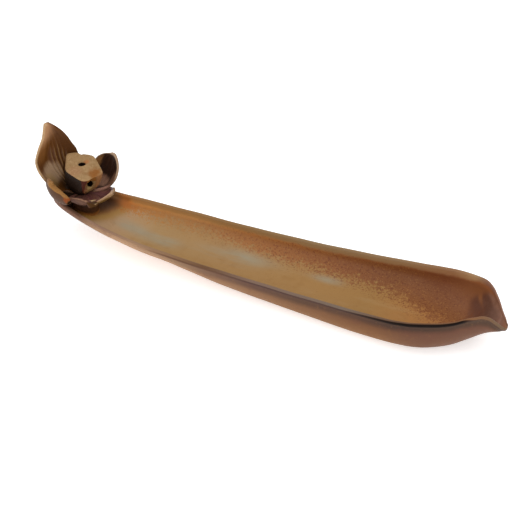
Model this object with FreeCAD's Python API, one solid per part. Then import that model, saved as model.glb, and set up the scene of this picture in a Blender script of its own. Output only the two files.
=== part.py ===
import FreeCAD, Part
import math
import os

# Leaf-shaped incense tray with a flower at its raised stem end and a loose
# faceted stick holder standing in the flower.  Millimetres, +Z up, X along
# the leaf (flower at -X, pinched tip at +X), Z = 0 is the surface it stands on.

# ---------------------------------------------------------------- dimensions
ORIGIN_X = 4.2            # moves the drawing so that the box centre is X = 0
ORIGIN_Y = 0.02

# tray: tables along the leaf, (x, value)
RIM_HALF_WIDTH = [(-132.4, 2.4), (-131.4, 5.0), (-129.3, 7.9), (-126, 10.3), (-121, 12.3),
                  (-116, 13.5), (-110, 14.7), (-103, 16.0), (-94, 17.6), (-86, 18.8),
                  (-72, 20.2), (-57, 21.05), (-42, 21.6), (-27, 22.05), (-12, 22.4),
                  (2.5, 22.9), (17.4, 23.55), (32.3, 24.3), (47.2, 25.1), (62, 25.8),
                  (70, 26.1), (77, 26.3), (84.4, 26.15), (91.9, 25.4), (99.3, 24.0),
                  (106.8, 21.4), (114.2, 16.9), (121.7, 9.8), (126, 6.1), (128.6, 4.1),
                  (129.8, 2.6)]
MIDLINE = [(-140, 0.0), (-110, 0.3), (-94, 0.5), (-60, 0), (85, 0), (99, 1.2),
           (114, 2.6), (122, 1.2), (130, -1.5)]
RIM_HEIGHT = [(-132.4, 25.4), (-126, 24.5), (-121, 23.3), (-116, 22.0), (-110, 20.7),
              (-103, 19.5), (-94, 18.3), (-86, 17.6), (-72, 16.8), (-57, 16.4),
              (-42, 16.15), (-27, 15.9), (-5, 15.85), (17.4, 16.05), (32.3, 16.6),
              (47.2, 17.25), (62, 17.95), (77, 18.9), (84.4, 19.9), (91.9, 20.8),
              (99.3, 21.55), (106.8, 22.6), (114.2, 24.1), (118, 24.1), (121.7, 22.6),
              (126, 18.6), (129.8, 15.6)]
KEEL_HEIGHT = [(-132.4, 18.2), (-128, 15.9), (-122, 14.0), (-114, 11.3), (-106, 8.6),
               (-96, 5.2), (-86, 2.8), (-75, 0.8), (-62, -0.5), (-30, -0.95), (0, -1.2),
               (60, -1.4), (92, -1.3), (104, -0.4), (112, 2.9), (120, 7.8), (126, 10.9),
               (129.8, 12.8)]
HULL_FULLNESS = [(-132.4, 2.55), (-120, 2.05), (-110, 1.85), (-95, 1.6), (-80, 1.5),
                 (-60, 1.52), (-40, 1.85), (-20, 2.45), (20, 3.4), (60, 4.2), (90, 3.55),
                 (108, 2.5), (129.8, 2.2)]
TROUGH_FULLNESS = [(-132.4, 2.2), (-110, 2.1), (-60, 1.85), (-20, 2.3), (20, 2.7),
                   (80, 2.9), (108, 2.4), (129.8, 2.0)]
RIM_THICKNESS = [(-132.4, 2.8), (-120, 2.5), (100, 2.5), (118, 2.4), (126, 2.1), (129.8, 1.1)]
FLOOR_THICKNESS = [(-132.4, 5.5), (-122, 4.4), (-106, 4.0), (-90, 4.0), (100, 4.2),
                   (112, 4.6), (120, 6.5), (126, 6.2), (129.8, 2.9)]
TRAY_STATIONS = [-132.4, -131.5, -130, -127.5, -124, -119, -113, -106, -98, -89, -79, -68,
                 -55, -41, -26, -10, 6, 22, 38, 53, 66, 77, 86, 94, 101, 107, 112, 116.5,
                 120.5, 124, 127, 129, 129.8]

# flower: centre of the bloom and its receptacle
FLOWER_X, FLOWER_Y = -113.5, 0.0
RECEPTACLE_TOP = 26.4
RECEPTACLE_PROFILE = [(0.0, 8.0), (8.0, 8.0), (7.7, 18.0), (7.5, 21.0), (7.2, 23.5),
                      (6.9, 25.4), (6.4, RECEPTACLE_TOP), (0.0, RECEPTACLE_TOP)]

# petals: spine as (radius from the flower centre, height), half widths to both
# sides, cupping half-angle and thickness along the spine (0 = root, 1 = tip)
PETALS = {
    "back_petal": dict(
        az=171.2, face=149.0, roll=-0.9, side=0.0,
        spine=[(3.0, 25.0), (9.2, 25.15), (15.17, 31.36), (20.82, 42.93), (21.26, 54.29), (22.9, 62.5)],
        bl=[(0.0, 5.59), (0.2, 9.79), (0.40, 13.7), (0.50, 14.2), (0.60, 13.7), (0.74, 10.0), (0.86, 5.3),
            (0.95, 3.0), (1.0, 1.6)],
        br=[(0.0, 5.61), (0.2, 9.81), (0.40, 13.6), (0.50, 14.2), (0.60, 14.0), (0.74, 11.2), (0.86, 7.6),
            (0.95, 4.1), (1.0, 1.7)],
        cup=[(0.0, 1.02), (0.3, 0.86), (0.6, 0.71), (1.0, 0.36)],
        th=[(0.0, 3.4), (0.5, 2.8), (1.0, 1.7)]),
    "near_left_petal": dict(
        az=-132.2, face=-118.9, roll=0.9, side=-1.0,
        spine=[(3.0, 24.6), (9.01, 24.48), (14.67, 25.19), (17.0, 28.95), (17.39, 34.73)],
        bl=[(0.0, 5.23), (0.3, 9.46), (0.6, 13.1), (0.8, 12.5), (0.93, 8.2), (1.0, 0.9)],
        br=[(0.0, 5.19), (0.3, 9.39), (0.6, 11.98), (0.8, 11.18), (0.93, 7.19), (1.0, 0.8)],
        cup=[(0.0, 0.76), (0.5, 0.61), (1.0, 0.51)],
        th=[(0.0, 3.6), (0.5, 3.6), (1.0, 3.0)]),
    "far_right_petal": dict(
        az=63.6, face=72.4, roll=0.7, side=0.6,
        spine=[(3.0, 25.2), (9.67, 25.29), (15.73, 29.46), (19.35, 35.77), (21.5, 41.8)],
        bl=[(0.0, 5.05), (0.3, 8.89), (0.6, 10.91), (0.8, 9.7), (0.93, 6.4), (1.0, 1.6)],
        br=[(0.0, 5.02), (0.3, 8.83), (0.6, 10.84), (0.8, 9.63), (0.93, 6.2), (1.0, 1.4)],
        cup=[(0.0, 0.89), (0.5, 0.86), (1.0, 0.74)],
        th=[(0.0, 3.3), (0.5, 2.9), (1.0, 2.2)]),
    "front_petal": dict(
        az=5.9, face=1.6, roll=-2.2, side=0.0,
        spine=[(3.0, 25.2), (7.95, 24.71), (12.58, 25.03), (16.68, 28.28)],
        bl=[(0.0, 5.0), (0.35, 8.3), (0.68, 9.9), (0.86, 9.3), (0.95, 6.6), (1.0, 0.8)],
        br=[(0.0, 5.0), (0.35, 8.2), (0.65, 9.1), (0.85, 7.2), (0.95, 4.4), (1.0, 0.6)],
        cup=[(0.0, 0.6), (0.5, 0.5), (1.0, 0.45)],
        th=[(0.0, 3.2), (0.5, 2.8), (1.0, 2.2)]),
    "near_right_petal": dict(
        az=-60.9, face=-67.2, roll=-1.2, side=0.1,
        spine=[(3.0, 25.2), (8.0, 25.4), (11.21, 25.99), (13.18, 27.89)],
        bl=[(0.0, 5.0), (0.35, 8.4), (0.65, 9.6), (0.85, 9.3), (0.95, 8.2), (1.0, 6.4)],
        br=[(0.0, 5.0), (0.35, 8.41), (0.65, 9.41), (0.85, 7.41), (0.95, 4.9), (1.0, 1.4)],
        cup=[(0.0, 0.5), (0.5, 0.45), (1.0, 0.4)],
        th=[(0.0, 3.2), (0.5, 3.0), (1.0, 2.4)]),
    "far_left_petal": dict(
        az=117.0, face=117.0, roll=0.0, side=0.0,
        spine=[(3.0, 25.2), (9.0, 25.6), (14.0, 28.2), (16.8, 32.4), (17.4, 36.0)],
        bl=[(0.0, 5.0), (0.3, 8.0), (0.6, 9.6), (0.8, 8.4), (0.93, 5.4), (1.0, 0.6)],
        br=[(0.0, 5.0), (0.3, 8.0), (0.6, 9.6), (0.8, 8.4), (0.93, 5.4), (1.0, 0.6)],
        cup=[(0.0, 0.9), (0.5, 0.8), (1.0, 0.7)],
        th=[(0.0, 3.2), (0.5, 2.8), (1.0, 2.2)]),
}
PETAL_STATIONS = [0.0, 0.12, 0.25, 0.38, 0.5, 0.61, 0.71, 0.8, 0.87, 0.925, 0.965, 0.99]
PETAL_POINTS = 30

# stick holder: faceted head on a rounded foot
HOLDER_X, HOLDER_Y = -113.4, 0.0
HOLDER_FOOT, HOLDER_HEAD = 26.4, 43.2
HOLDER_LEAN = (-3.5, 0.5)
HOLDER_TILT = 0.12
HOLDER_CORNERS = [(-133.1, 9.6), (-61.0, 12.5), (-41.4, 13.7), (-22, 13.25), (2.0, 13.9),
                  (82.3, 11.45), (132.4, 13.75), (155.3, 15.35)]
HOLDER_PROFILE = [(0, .415), (.05, .525), (.13, .65), (.25, .79), (.42, .915), (.62, .965),
                  (.80, 1.0), (.89, 1.0), (.95, .98), (.985, .94), (1, .90)]
HOLDER_STATIONS = [0.0, 0.05, 0.12, 0.22, 0.36, 0.52, 0.7, 0.86, 0.94, 0.98, 1.0]
HOLDER_CLEARANCE = 0.6
FOOT_GAP = 0.35            # petals stay this far below the holder's foot

TOP_BORE_R = 1.75
TOP_BORE_X, TOP_BORE_Y = -114.0, 1.2
TOP_BORE_MOUTH_Z = 42.9
TOP_BORE_DEPTH = 11.0
SIDE_BORE_R = 1.5
SIDE_BORE_AZ = -34.0
SIDE_BORE_RISE = 20.0
SIDE_BORE_MOUTH = 9.9      # distance of the mouth from the holder's axis
SIDE_BORE_Z = 37.2
SIDE_BORE_DEPTH = 7.0
MOUTH_LEDGE = 0.75         # shallow dressed ring round each hole, its width


# ------------------------------------------------------------------- helpers
def V(p):
    return FreeCAD.Vector(p[0], p[1], p[2])


def pchip(pts):
    xs = [p[0] for p in pts]
    ys = [p[1] for p in pts]
    n = len(xs)
    h = [xs[i + 1] - xs[i] for i in range(n - 1)]
    d = [(ys[i + 1] - ys[i]) / h[i] for i in range(n - 1)]
    m = [0.0] * n
    if n == 2:
        m = [d[0], d[0]]
    else:
        for i in range(1, n - 1):
            if d[i - 1] * d[i] > 0:
                w1 = 2 * h[i] + h[i - 1]
                w2 = h[i] + 2 * h[i - 1]
                m[i] = (w1 + w2) / (w1 / d[i - 1] + w2 / d[i])

        def end(h0, h1, d0, d1):
            v = ((2 * h0 + h1) * d0 - h0 * d1) / (h0 + h1)
            if v * d0 <= 0:
                return 0.0
            if d0 * d1 <= 0 and abs(v) > abs(3 * d0):
                return 3 * d0
            return v
        m[0] = end(h[0], h[1], d[0], d[1])
        m[-1] = end(h[-1], h[-2], d[-1], d[-2])

    def f(x):
        if x <= xs[0]:
            return ys[0]
        if x >= xs[-1]:
            return ys[-1]
        lo, hi = 0, n - 1
        while hi - lo > 1:
            k = (lo + hi) // 2
            if xs[k] <= x:
                lo = k
            else:
                hi = k
        t = (x - xs[lo]) / h[lo]
        t2 = t * t
        t3 = t2 * t
        return ((2 * t3 - 3 * t2 + 1) * ys[lo] + (t3 - 2 * t2 + t) * h[lo] * m[lo]
                + (-2 * t3 + 3 * t2) * ys[lo + 1] + (t3 - t2) * h[lo] * m[lo + 1])
    return f


def add(a, b):
    return (a[0] + b[0], a[1] + b[1], a[2] + b[2])


def mul(a, k):
    return (a[0] * k, a[1] * k, a[2] * k)


def dot(a, b):
    return a[0] * b[0] + a[1] * b[1] + a[2] * b[2]


def cross(a, b):
    return (a[1] * b[2] - a[2] * b[1], a[2] * b[0] - a[0] * b[2], a[0] * b[1] - a[1] * b[0])


def unit(a):
    n = math.sqrt(dot(a, a)) or 1.0
    return (a[0] / n, a[1] / n, a[2] / n)


def resample(pts, n):
    """n points at equal arc length along an open polyline, ends included"""
    s = [0.0]
    for i in range(1, len(pts)):
        s.append(s[-1] + math.dist(pts[i], pts[i - 1]))
    out = []
    j = 0
    for k in range(n):
        v = s[-1] * k / (n - 1)
        while j < len(pts) - 2 and s[j + 1] < v:
            j += 1
        seg = s[j + 1] - s[j]
        t = (v - s[j]) / seg if seg > 1e-12 else 0.0
        out.append(tuple(pts[j][i] + (pts[j + 1][i] - pts[j][i]) * t for i in range(3)))
    return out


def solve(rows, rhs):
    """Gaussian elimination, several right-hand sides"""
    n = len(rows)
    A = [list(r) + list(b) for r, b in zip(rows, rhs)]
    for k in range(n):
        p = max(range(k, n), key=lambda q: abs(A[q][k]))
        A[k], A[p] = A[p], A[k]
        for q in range(k + 1, n):
            f = A[q][k] / A[k][k]
            if f:
                rk, rq = A[k], A[q]
                for c in range(k, len(rk)):
                    rq[c] -= f * rk[c]
    for k in range(n - 1, -1, -1):
        d = A[k][k]
        A[k] = [v / d for v in A[k]]
        for q in range(k):
            f = A[q][k]
            if f:
                rk, rq = A[k], A[q]
                for c in range(n, len(rk)):
                    rq[c] -= f * rk[c]
    return [r[n:] for r in A]


def skin(rings):
    """solid skinned smoothly through closed planar rings of equal point count"""
    m, n = len(rings), len(rings[0])
    # poles round each ring: periodic cubic through its points
    rows = [[0.0] * n for _ in range(n)]
    for i in range(n):
        rows[i][i] = 4 / 6
        rows[i][(i - 1) % n] += 1 / 6
        rows[i][(i + 1) % n] += 1 / 6
    rhs = [[rings[k][i][c] for k in range(m) for c in range(3)] for i in range(n)]
    ring_poles = solve(rows, rhs)
    # poles from ring to ring: natural cubic through the stations
    knots = [0.0] * 4 + [float(k) for k in range(1, m - 1)] + [m - 1.0] * 4

    def basis(u):
        B = [0.0] * (len(knots) - 1)
        top = m - 1
        for q in range(len(knots) - 1):
            if knots[q] <= u < knots[q + 1] or (u >= top and knots[q] < knots[q + 1] == top):
                B[q] = 1.0
        for d in range(1, 4):
            C = [0.0] * (len(B) - 1)
            for q in range(len(C)):
                a, b = knots[q + d] - knots[q], knots[q + d + 1] - knots[q + 1]
                if a > 0:
                    C[q] += (u - knots[q]) / a * B[q]
                if b > 0:
                    C[q] += (knots[q + d + 1] - u) / b * B[q + 1]
            B = C
        return B
    rows = [basis(float(k)) for k in range(m)]
    e0 = [0.0] * (m + 2)
    e0[0], e0[1], e0[2] = 2.0, -3.0, 1.0
    e1 = [0.0] * (m + 2)
    e1[-1], e1[-2], e1[-3] = 2.0, -3.0, 1.0
    rows += [e0, e1]
    rhs = [[ring_poles[i][k * 3 + c] for i in range(n) for c in range(3)] for k in range(m)]
    rhs += [[0.0] * (3 * n), [0.0] * (3 * n)]
    P = solve(rows, rhs)
    poles = [[FreeCAD.Vector(P[k][3 * i], P[k][3 * i + 1], P[k][3 * i + 2]) for k in range(m + 2)]
             for i in range(n)]
    surf = Part.BSplineSurface()
    surf.buildFromPolesMultsKnots(poles, [1] * (n + 1), [4] + [1] * (m - 2) + [4],
                                  [float(i) for i in range(n + 1)], [float(k) for k in range(m)],
                                  True, False, 3, 3)
    side = surf.toShape()
    ends = [e for e in side.Edges if e.isClosed() and not e.isSeam(side)]
    caps = [Part.Face(Part.Wire([e])) for e in ends]
    shell = Part.Shell([side] + caps)
    shell.sewShape(1e-4)
    solid = Part.Solid(Part.Shell(shell.Faces))
    if solid.Volume < 0:
        solid.reverse()
    return solid


def biggest(shape):
    return max(shape.Solids, key=lambda q: q.Volume)


def cut(shape, tools):
    for t in tools:
        shape = shape.cut(t)
    return biggest(shape)


# ---------------------------------------------------------------------- tray
half_width = pchip(RIM_HALF_WIDTH)
midline = pchip(MIDLINE)
rim_height = pchip(RIM_HEIGHT)
keel = pchip(KEEL_HEIGHT)
hull_p = pchip(HULL_FULLNESS)
trough_p = pchip(TROUGH_FULLNESS)
rim_t = pchip(RIM_THICKNESS)
floor_t = pchip(FLOOR_THICKNESS)


def bowl(x, c, w, top, bottom, p, n):
    pts = []
    for i in range(161):
        th = math.pi * i / 160
        cc, ss = math.cos(th), math.sin(th)
        pts.append((x, c - w * math.copysign(abs(cc) ** (2 / p), cc),
                    top - (top - bottom) * abs(ss) ** (2 / p)))
    return resample(pts, n)


def tray_section(x):
    w, c, zr, t = half_width(x), midline(x), rim_height(x), rim_t(x)
    top = zr - t * 0.5
    zk = keel(x)
    floor = min(max(zk, 0.0) + floor_t(x), top - 0.4)
    wi = max(w - t, 0.4)
    r = (w - wi) / 2
    outer = bowl(x, c, w, top, zk, hull_p(x), 29)
    inner = bowl(x, c, wi, top, floor, trough_p(x), 21)
    far_rim = [(x, c + wi + r + r * math.cos(a), top + r * math.sin(a))
               for a in (math.pi * 0.25, math.pi * 0.5, math.pi * 0.75)]
    near_rim = [(x, c - wi - r + r * math.cos(a), top + r * math.sin(a))
                for a in (math.pi * 0.25, math.pi * 0.5, math.pi * 0.75)]
    return outer + far_rim + inner[::-1] + near_rim


tray = skin([tray_section(x) for x in TRAY_STATIONS])
below = Part.makeBox(400, 200, 20, FreeCAD.Vector(-200, -100, -20))
tray = biggest(tray.cut(below))

# -------------------------------------------------------------------- holder
holder_r = pchip(HOLDER_PROFILE)


def corner_radius(phi):
    acc = 0.0
    n = len(HOLDER_CORNERS)
    for i in range(n):
        a0, r0 = HOLDER_CORNERS[i]
        a1, r1 = HOLDER_CORNERS[(i + 1) % n]
        x0, y0 = r0 * math.cos(math.radians(a0)), r0 * math.sin(math.radians(a0))
        x1, y1 = r1 * math.cos(math.radians(a1)), r1 * math.sin(math.radians(a1))
        nx, ny = (y1 - y0), -(x1 - x0)
        q = math.hypot(nx, ny)
        nx, ny = nx / q, ny / q
        d = nx * x0 + ny * y0
        if d < 0:
            nx, ny, d = -nx, -ny, -d
        c = (nx * math.cos(phi) + ny * math.sin(phi)) / d
        if c > 0:
            acc += c ** 11.0
    return acc ** (-1.0 / 11.0)


def holder_ring(k, grow=0.0, z_over=None, n=60):
    out = []
    ax = HOLDER_X + HOLDER_LEAN[0] * (1 - k)
    ay = HOLDER_Y + HOLDER_LEAN[1] * (1 - k)
    for i in range(n):
        phi = 2 * math.pi * i / n
        r = corner_radius(phi) * holder_r(k) + grow
        x, y = r * math.cos(phi), r * math.sin(phi)
        z = HOLDER_FOOT + (HOLDER_HEAD - HOLDER_FOOT) * k
        z += HOLDER_TILT * (-.415 * x + .91 * y) * max(0.0, (k - .3) / .7) ** 1.5
        out.append((ax + x, ay + y, z if z_over is None else z_over))
    return out


holder = skin([holder_ring(k) for k in HOLDER_STATIONS])

# room for the holder as it is lifted straight up: at each height the widest
# outline that passes it, seen from the flower's centre, plus the clearance
def outline(k, n):
    ring = holder_ring(k, 0.0, 0.0, 720)
    pol = sorted((math.atan2(p[1] - FLOWER_Y, p[0] - FLOWER_X),
                  math.hypot(p[0] - FLOWER_X, p[1] - FLOWER_Y)) for p in ring)
    pol = [(pol[-1][0] - 2 * math.pi, pol[-1][1])] + pol + [(pol[0][0] + 2 * math.pi, pol[0][1])]
    out, q = [], 0
    for i in range(n):
        a = -math.pi + 2 * math.pi * i / n
        while pol[q + 1][0] < a:
            q += 1
        t = (a - pol[q][0]) / (pol[q + 1][0] - pol[q][0])
        out.append(pol[q][1] + t * (pol[q + 1][1] - pol[q][1]))
    return out


ROOM_POINTS = 48
room_rings = []
widest = [0.0] * ROOM_POINTS
for k in (0.0, 0.05, 0.12, 0.22, 0.36, 0.52, 0.7, 0.86):
    widest = [max(a, b) for a, b in zip(widest, outline(k, ROOM_POINTS))]
    room_rings.append((HOLDER_FOOT - FOOT_GAP + (HOLDER_HEAD - HOLDER_FOOT) * k, list(widest)))
for z, more in ((46.0, 0.1), (54.0, 0.2), (64.0, 0.3), (76.0, 0.4)):
    room_rings.append((z, [r + more for r in widest]))
room = skin([[(FLOWER_X + (r + HOLDER_CLEARANCE) * math.cos(-math.pi + 2 * math.pi * i / ROOM_POINTS),
               FLOWER_Y + (r + HOLDER_CLEARANCE) * math.sin(-math.pi + 2 * math.pi * i / ROOM_POINTS), z)
              for i, r in enumerate(rr)] for z, rr in room_rings])


def bore(mouth, axis, radius, depth):
    """blind hole from its mouth inwards, with a dressed ring at the mouth"""
    a = unit(axis)
    deep = Part.makeCylinder(radius, depth, V(mouth), V(mul(a, -1)))
    ring = Part.makeCylinder(radius + MOUTH_LEDGE, 6.0, V(mouth), V(a))
    return deep, ring


top_mouth = (TOP_BORE_X, TOP_BORE_Y, TOP_BORE_MOUTH_Z)
deep, ring = bore(top_mouth, (0, 0, 1), TOP_BORE_R, TOP_BORE_DEPTH)
holder = holder.cut(ring).cut(deep)
ca, sa = math.cos(math.radians(SIDE_BORE_AZ)), math.sin(math.radians(SIDE_BORE_AZ))
cr, sr = math.cos(math.radians(SIDE_BORE_RISE)), math.sin(math.radians(SIDE_BORE_RISE))
side_mouth = (HOLDER_X + SIDE_BORE_MOUTH * ca, HOLDER_Y + SIDE_BORE_MOUTH * sa, SIDE_BORE_Z)
side_axis = (cr * ca, cr * sa, sr)
deep, ring = bore(side_mouth, side_axis, SIDE_BORE_R, SIDE_BORE_DEPTH)
holder = biggest(holder.cut(ring).cut(deep))

# ---------------------------------------------------------------- receptacle
prof = [FreeCAD.Vector(FLOWER_X + r, FLOWER_Y, z) for r, z in RECEPTACLE_PROFILE]
face = Part.Face(Part.makePolygon(prof + [prof[0]]))
receptacle_full = face.revolve(FreeCAD.Vector(FLOWER_X, FLOWER_Y, 0), FreeCAD.Vector(0, 0, 1), 360)
if receptacle_full.Volume < 0:
    receptacle_full.reverse()
receptacle = biggest(receptacle_full.cut(tray))
# keep only what stands above the trough
receptacle = max(receptacle_full.cut(tray).Solids, key=lambda q: q.BoundBox.ZMax)


# -------------------------------------------------------------------- petals
def spline(pts):
    n = len(pts)
    s = [0.0]
    for i in range(1, n):
        s.append(s[-1] + math.dist(pts[i], pts[i - 1]))
    s = [v / s[-1] for v in s]
    fs = []
    for k in range(3):
        y = [p[k] for p in pts]
        h = [s[i + 1] - s[i] for i in range(n - 1)]
        a, b, c, d = [0.0] * n, [1.0] * n, [0.0] * n, [0.0] * n
        for i in range(1, n - 1):
            a[i], b[i], c[i] = h[i - 1], 2 * (h[i - 1] + h[i]), h[i]
            d[i] = 6 * ((y[i + 1] - y[i]) / h[i] - (y[i] - y[i - 1]) / h[i - 1])
        for i in range(1, n):
            w = a[i] / b[i - 1]
            b[i] -= w * c[i - 1]
            d[i] -= w * d[i - 1]
        M = [0.0] * n
        M[-1] = d[-1] / b[-1]
        for i in range(n - 2, -1, -1):
            M[i] = (d[i] - c[i] * M[i + 1]) / b[i]
        fs.append((y, h, M))

    def f(t):
        i = 0
        while i < n - 2 and t > s[i + 1]:
            i += 1
        u = t - s[i]
        p, q = [], []
        for (y, h, M) in fs:
            B = (y[i + 1] - y[i]) / h[i] - h[i] * (2 * M[i] + M[i + 1]) / 6
            p.append(y[i] + u * (B + u * (M[i] / 2 + u * (M[i + 1] - M[i]) / (6 * h[i]))))
            q.append(B + u * (M[i] + u * (M[i + 1] - M[i]) / (2 * h[i])))
        return tuple(p), tuple(q)
    return f


def smooth(x, lo, hi):
    t = min(max((x - lo) / (hi - lo), 0.0), 1.0)
    return t * t * (3 - 2 * t)


def turned_lip(s, t):
    """the left edge curls up, and the right half of the end folds down over the trough"""
    curl = 0.3 * smooth(s, 0.5, 0.9) + 0.9 * smooth(t, -0.1, -0.8) * smooth(s, 0.3, 0.7)
    return curl - 2.4 * smooth(s, 0.75, 1.0) * smooth(t, -0.2, 0.6)


def low_corner(s, t):
    """the far corner lies lower than the near one"""
    return -1.6 * smooth(t, 0.3, 1.0) * smooth(s, 0.4, 0.8)


BENDS = {"near_right_petal": turned_lip, "front_petal": low_corner}


def petal_sections(P, bend=None):
    a, fa, rl = math.radians(P["az"]), math.radians(P["face"]), math.radians(P["roll"])
    er, et = (math.cos(a), math.sin(a), 0), (-math.sin(a), math.cos(a), 0)
    lat0 = (-math.sin(fa) * math.cos(rl), math.cos(fa) * math.cos(rl), math.sin(rl))
    sp = spline([(FLOWER_X + er[0] * r + et[0] * P["side"],
                  FLOWER_Y + er[1] * r + et[1] * P["side"], z) for r, z in P["spine"]])
    bl, br, cu, th = pchip(P["bl"]), pchip(P["br"]), pchip(P["cup"]), pchip(P["th"])
    out = []
    for s in PETAL_STATIONS:
        c, d = sp(s)
        T = unit(d)
        l = unit(add(lat0, mul(T, -dot(lat0, T))))
        n = unit(cross(l, T))
        if dot(n, (FLOWER_X - c[0], FLOWER_Y - c[1], 20.0)) < 0:
            n = mul(n, -1)

        def point(t, side):
            b = br(s) if t < 0 else bl(s)
            al = cu(s)
            R = b / al
            ang = al * abs(t)
            q = math.copysign(R * math.sin(ang), t)
            p = add(c, add(mul(l, q), mul(n, R * (1 - math.cos(ang)))))
            if bend is not None:
                # the last section is lifted as a whole, so that it stays flat
                p = add(p, (0, 0, bend(s, t if s < PETAL_STATIONS[-1] else 0.4)))
            nn = unit(add(mul(n, math.cos(ang)), mul(l, -math.copysign(math.sin(ang), t))))
            e = math.sqrt(max(0.0, 1 - abs(t) ** 8))
            return add(p, mul(nn, side * th(s) * (1 - 0.35 * abs(t) ** 2.5) * 0.5 * e))
        ts = [math.sin(math.pi / 2 * (-1 + 2 * i / 120)) for i in range(121)]
        inner = [point(t, 1) for t in ts]
        outer = [point(t, -1) for t in ts]
        m = PETAL_POINTS // 2 + 1
        ring = resample(inner, m)[:-1] + resample(outer[::-1], m)[:-1]
        out.append(ring)
    return out


petals = {}
done = []
for name, P in PETALS.items():
    whole = skin(petal_sections(P, BENDS.get(name)))
    piece = cut(whole, [receptacle_full, tray, room] + done)
    petals[name] = piece
    done.append(piece)

# -------------------------------------------------------------------- output
nodes = {"leaf_tray": tray, "flower_base": receptacle, "stick_holder": holder}
nodes.update(petals)
os.makedirs("parts", exist_ok=True)
box = None
for name, shape in nodes.items():
    s = shape.copy()
    s.translate(FreeCAD.Vector(ORIGIN_X, ORIGIN_Y, 0))
    s.exportStep("parts/%s.step" % name)
    b = s.optimalBoundingBox()
    print("%-18s valid %s solids %d faces %d vol %.1f  x %.2f..%.2f y %.2f..%.2f z %.2f..%.2f" % (
        name, s.isValid(), len(s.Solids), len(s.Faces), s.Volume,
        b.XMin, b.XMax, b.YMin, b.YMax, b.ZMin, b.ZMax))
    if box is None:
        box = b
    else:
        box.add(b)
print("whole x %.3f..%.3f y %.3f..%.3f z %.3f..%.3f" % (box.XMin, box.XMax, box.YMin, box.YMax, box.ZMin, box.ZMax))
print("top mouth", (top_mouth[0] + ORIGIN_X, top_mouth[1] + ORIGIN_Y, top_mouth[2]))
print("side mouth", (round(side_mouth[0] + ORIGIN_X, 4), round(side_mouth[1] + ORIGIN_Y, 4), side_mouth[2]),
      "axis", tuple(round(v, 6) for v in side_axis))
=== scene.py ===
import bpy
import bmesh
import math
import numpy as np
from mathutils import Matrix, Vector


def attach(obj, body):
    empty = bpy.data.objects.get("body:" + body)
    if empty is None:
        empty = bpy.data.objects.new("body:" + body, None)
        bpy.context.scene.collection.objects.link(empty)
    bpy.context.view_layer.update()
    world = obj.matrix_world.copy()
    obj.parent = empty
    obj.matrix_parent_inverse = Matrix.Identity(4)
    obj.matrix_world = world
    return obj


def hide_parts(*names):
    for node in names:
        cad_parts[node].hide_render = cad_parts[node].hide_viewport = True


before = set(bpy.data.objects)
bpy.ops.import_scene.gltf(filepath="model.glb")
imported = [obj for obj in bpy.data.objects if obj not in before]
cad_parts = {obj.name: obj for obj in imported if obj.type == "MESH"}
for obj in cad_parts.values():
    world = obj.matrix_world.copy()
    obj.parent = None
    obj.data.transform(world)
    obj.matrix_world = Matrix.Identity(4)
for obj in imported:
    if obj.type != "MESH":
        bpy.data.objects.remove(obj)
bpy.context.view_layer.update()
scene = bpy.context.scene

# ------------------------------------------------------------------ dimensions
# Millimetres, in the drawing's own frame; the shift below takes it to the part's.
SHIFT = np.array([4.2, 0.02, 0.0])

RIM_HALF_WIDTH = [(-132.4, 2.4), (-131.4, 5.0), (-129.3, 7.9), (-126, 10.3), (-121, 12.3),
                  (-116, 13.5), (-110, 14.7), (-103, 16.0), (-94, 17.6), (-86, 18.8),
                  (-72, 20.2), (-57, 21.05), (-42, 21.6), (-27, 22.05), (-12, 22.4),
                  (2.5, 22.9), (17.4, 23.55), (32.3, 24.3), (47.2, 25.1), (62, 25.8),
                  (70, 26.1), (77, 26.3), (84.4, 26.15), (91.9, 25.4), (99.3, 24.0),
                  (106.8, 21.4), (114.2, 16.9), (121.7, 9.8), (126, 6.1), (128.6, 4.1),
                  (129.8, 2.6)]
MIDLINE = [(-140, 0.0), (-110, 0.3), (-94, 0.5), (-60, 0), (85, 0), (99, 1.2),
           (114, 2.6), (122, 1.2), (130, -1.5)]
RIM_HEIGHT = [(-132.4, 25.4), (-126, 24.5), (-121, 23.3), (-116, 22.0), (-110, 20.7),
              (-103, 19.5), (-94, 18.3), (-86, 17.6), (-72, 16.8), (-57, 16.4),
              (-42, 16.15), (-27, 15.9), (-5, 15.85), (17.4, 16.05), (32.3, 16.6),
              (47.2, 17.25), (62, 17.95), (77, 18.9), (84.4, 19.9), (91.9, 20.8),
              (99.3, 21.55), (106.8, 22.6), (114.2, 24.1), (118, 24.1), (121.7, 22.6),
              (126, 18.6), (129.8, 15.6)]
KEEL_HEIGHT = [(-132.4, 18.2), (-128, 15.9), (-122, 14.0), (-114, 11.3), (-106, 8.6),
               (-96, 5.2), (-86, 2.8), (-75, 0.8), (-62, -0.5), (-30, -0.95), (0, -1.2),
               (60, -1.4), (92, -1.3), (104, -0.4), (112, 2.9), (120, 7.8), (126, 10.9),
               (129.8, 12.8)]
HULL_FULLNESS = [(-132.4, 2.55), (-120, 2.05), (-110, 1.85), (-95, 1.6), (-80, 1.5),
                 (-60, 1.52), (-40, 1.85), (-20, 2.45), (20, 3.4), (60, 4.2), (90, 3.55),
                 (108, 2.5), (129.8, 2.2)]
TROUGH_FULLNESS = [(-132.4, 2.2), (-110, 2.1), (-60, 1.85), (-20, 2.3), (20, 2.7),
                   (80, 2.9), (108, 2.4), (129.8, 2.0)]
RIM_THICKNESS = [(-132.4, 2.8), (-120, 2.5), (100, 2.5), (118, 2.4), (126, 2.1), (129.8, 1.1)]
FLOOR_THICKNESS = [(-132.4, 5.5), (-122, 5.5), (-112, 5.4), (-104, 4.9), (-95, 4.2), (-88, 4.0), (100, 4.2),
                   (112, 4.6), (120, 6.5), (126, 6.2), (129.8, 2.9)]

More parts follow.
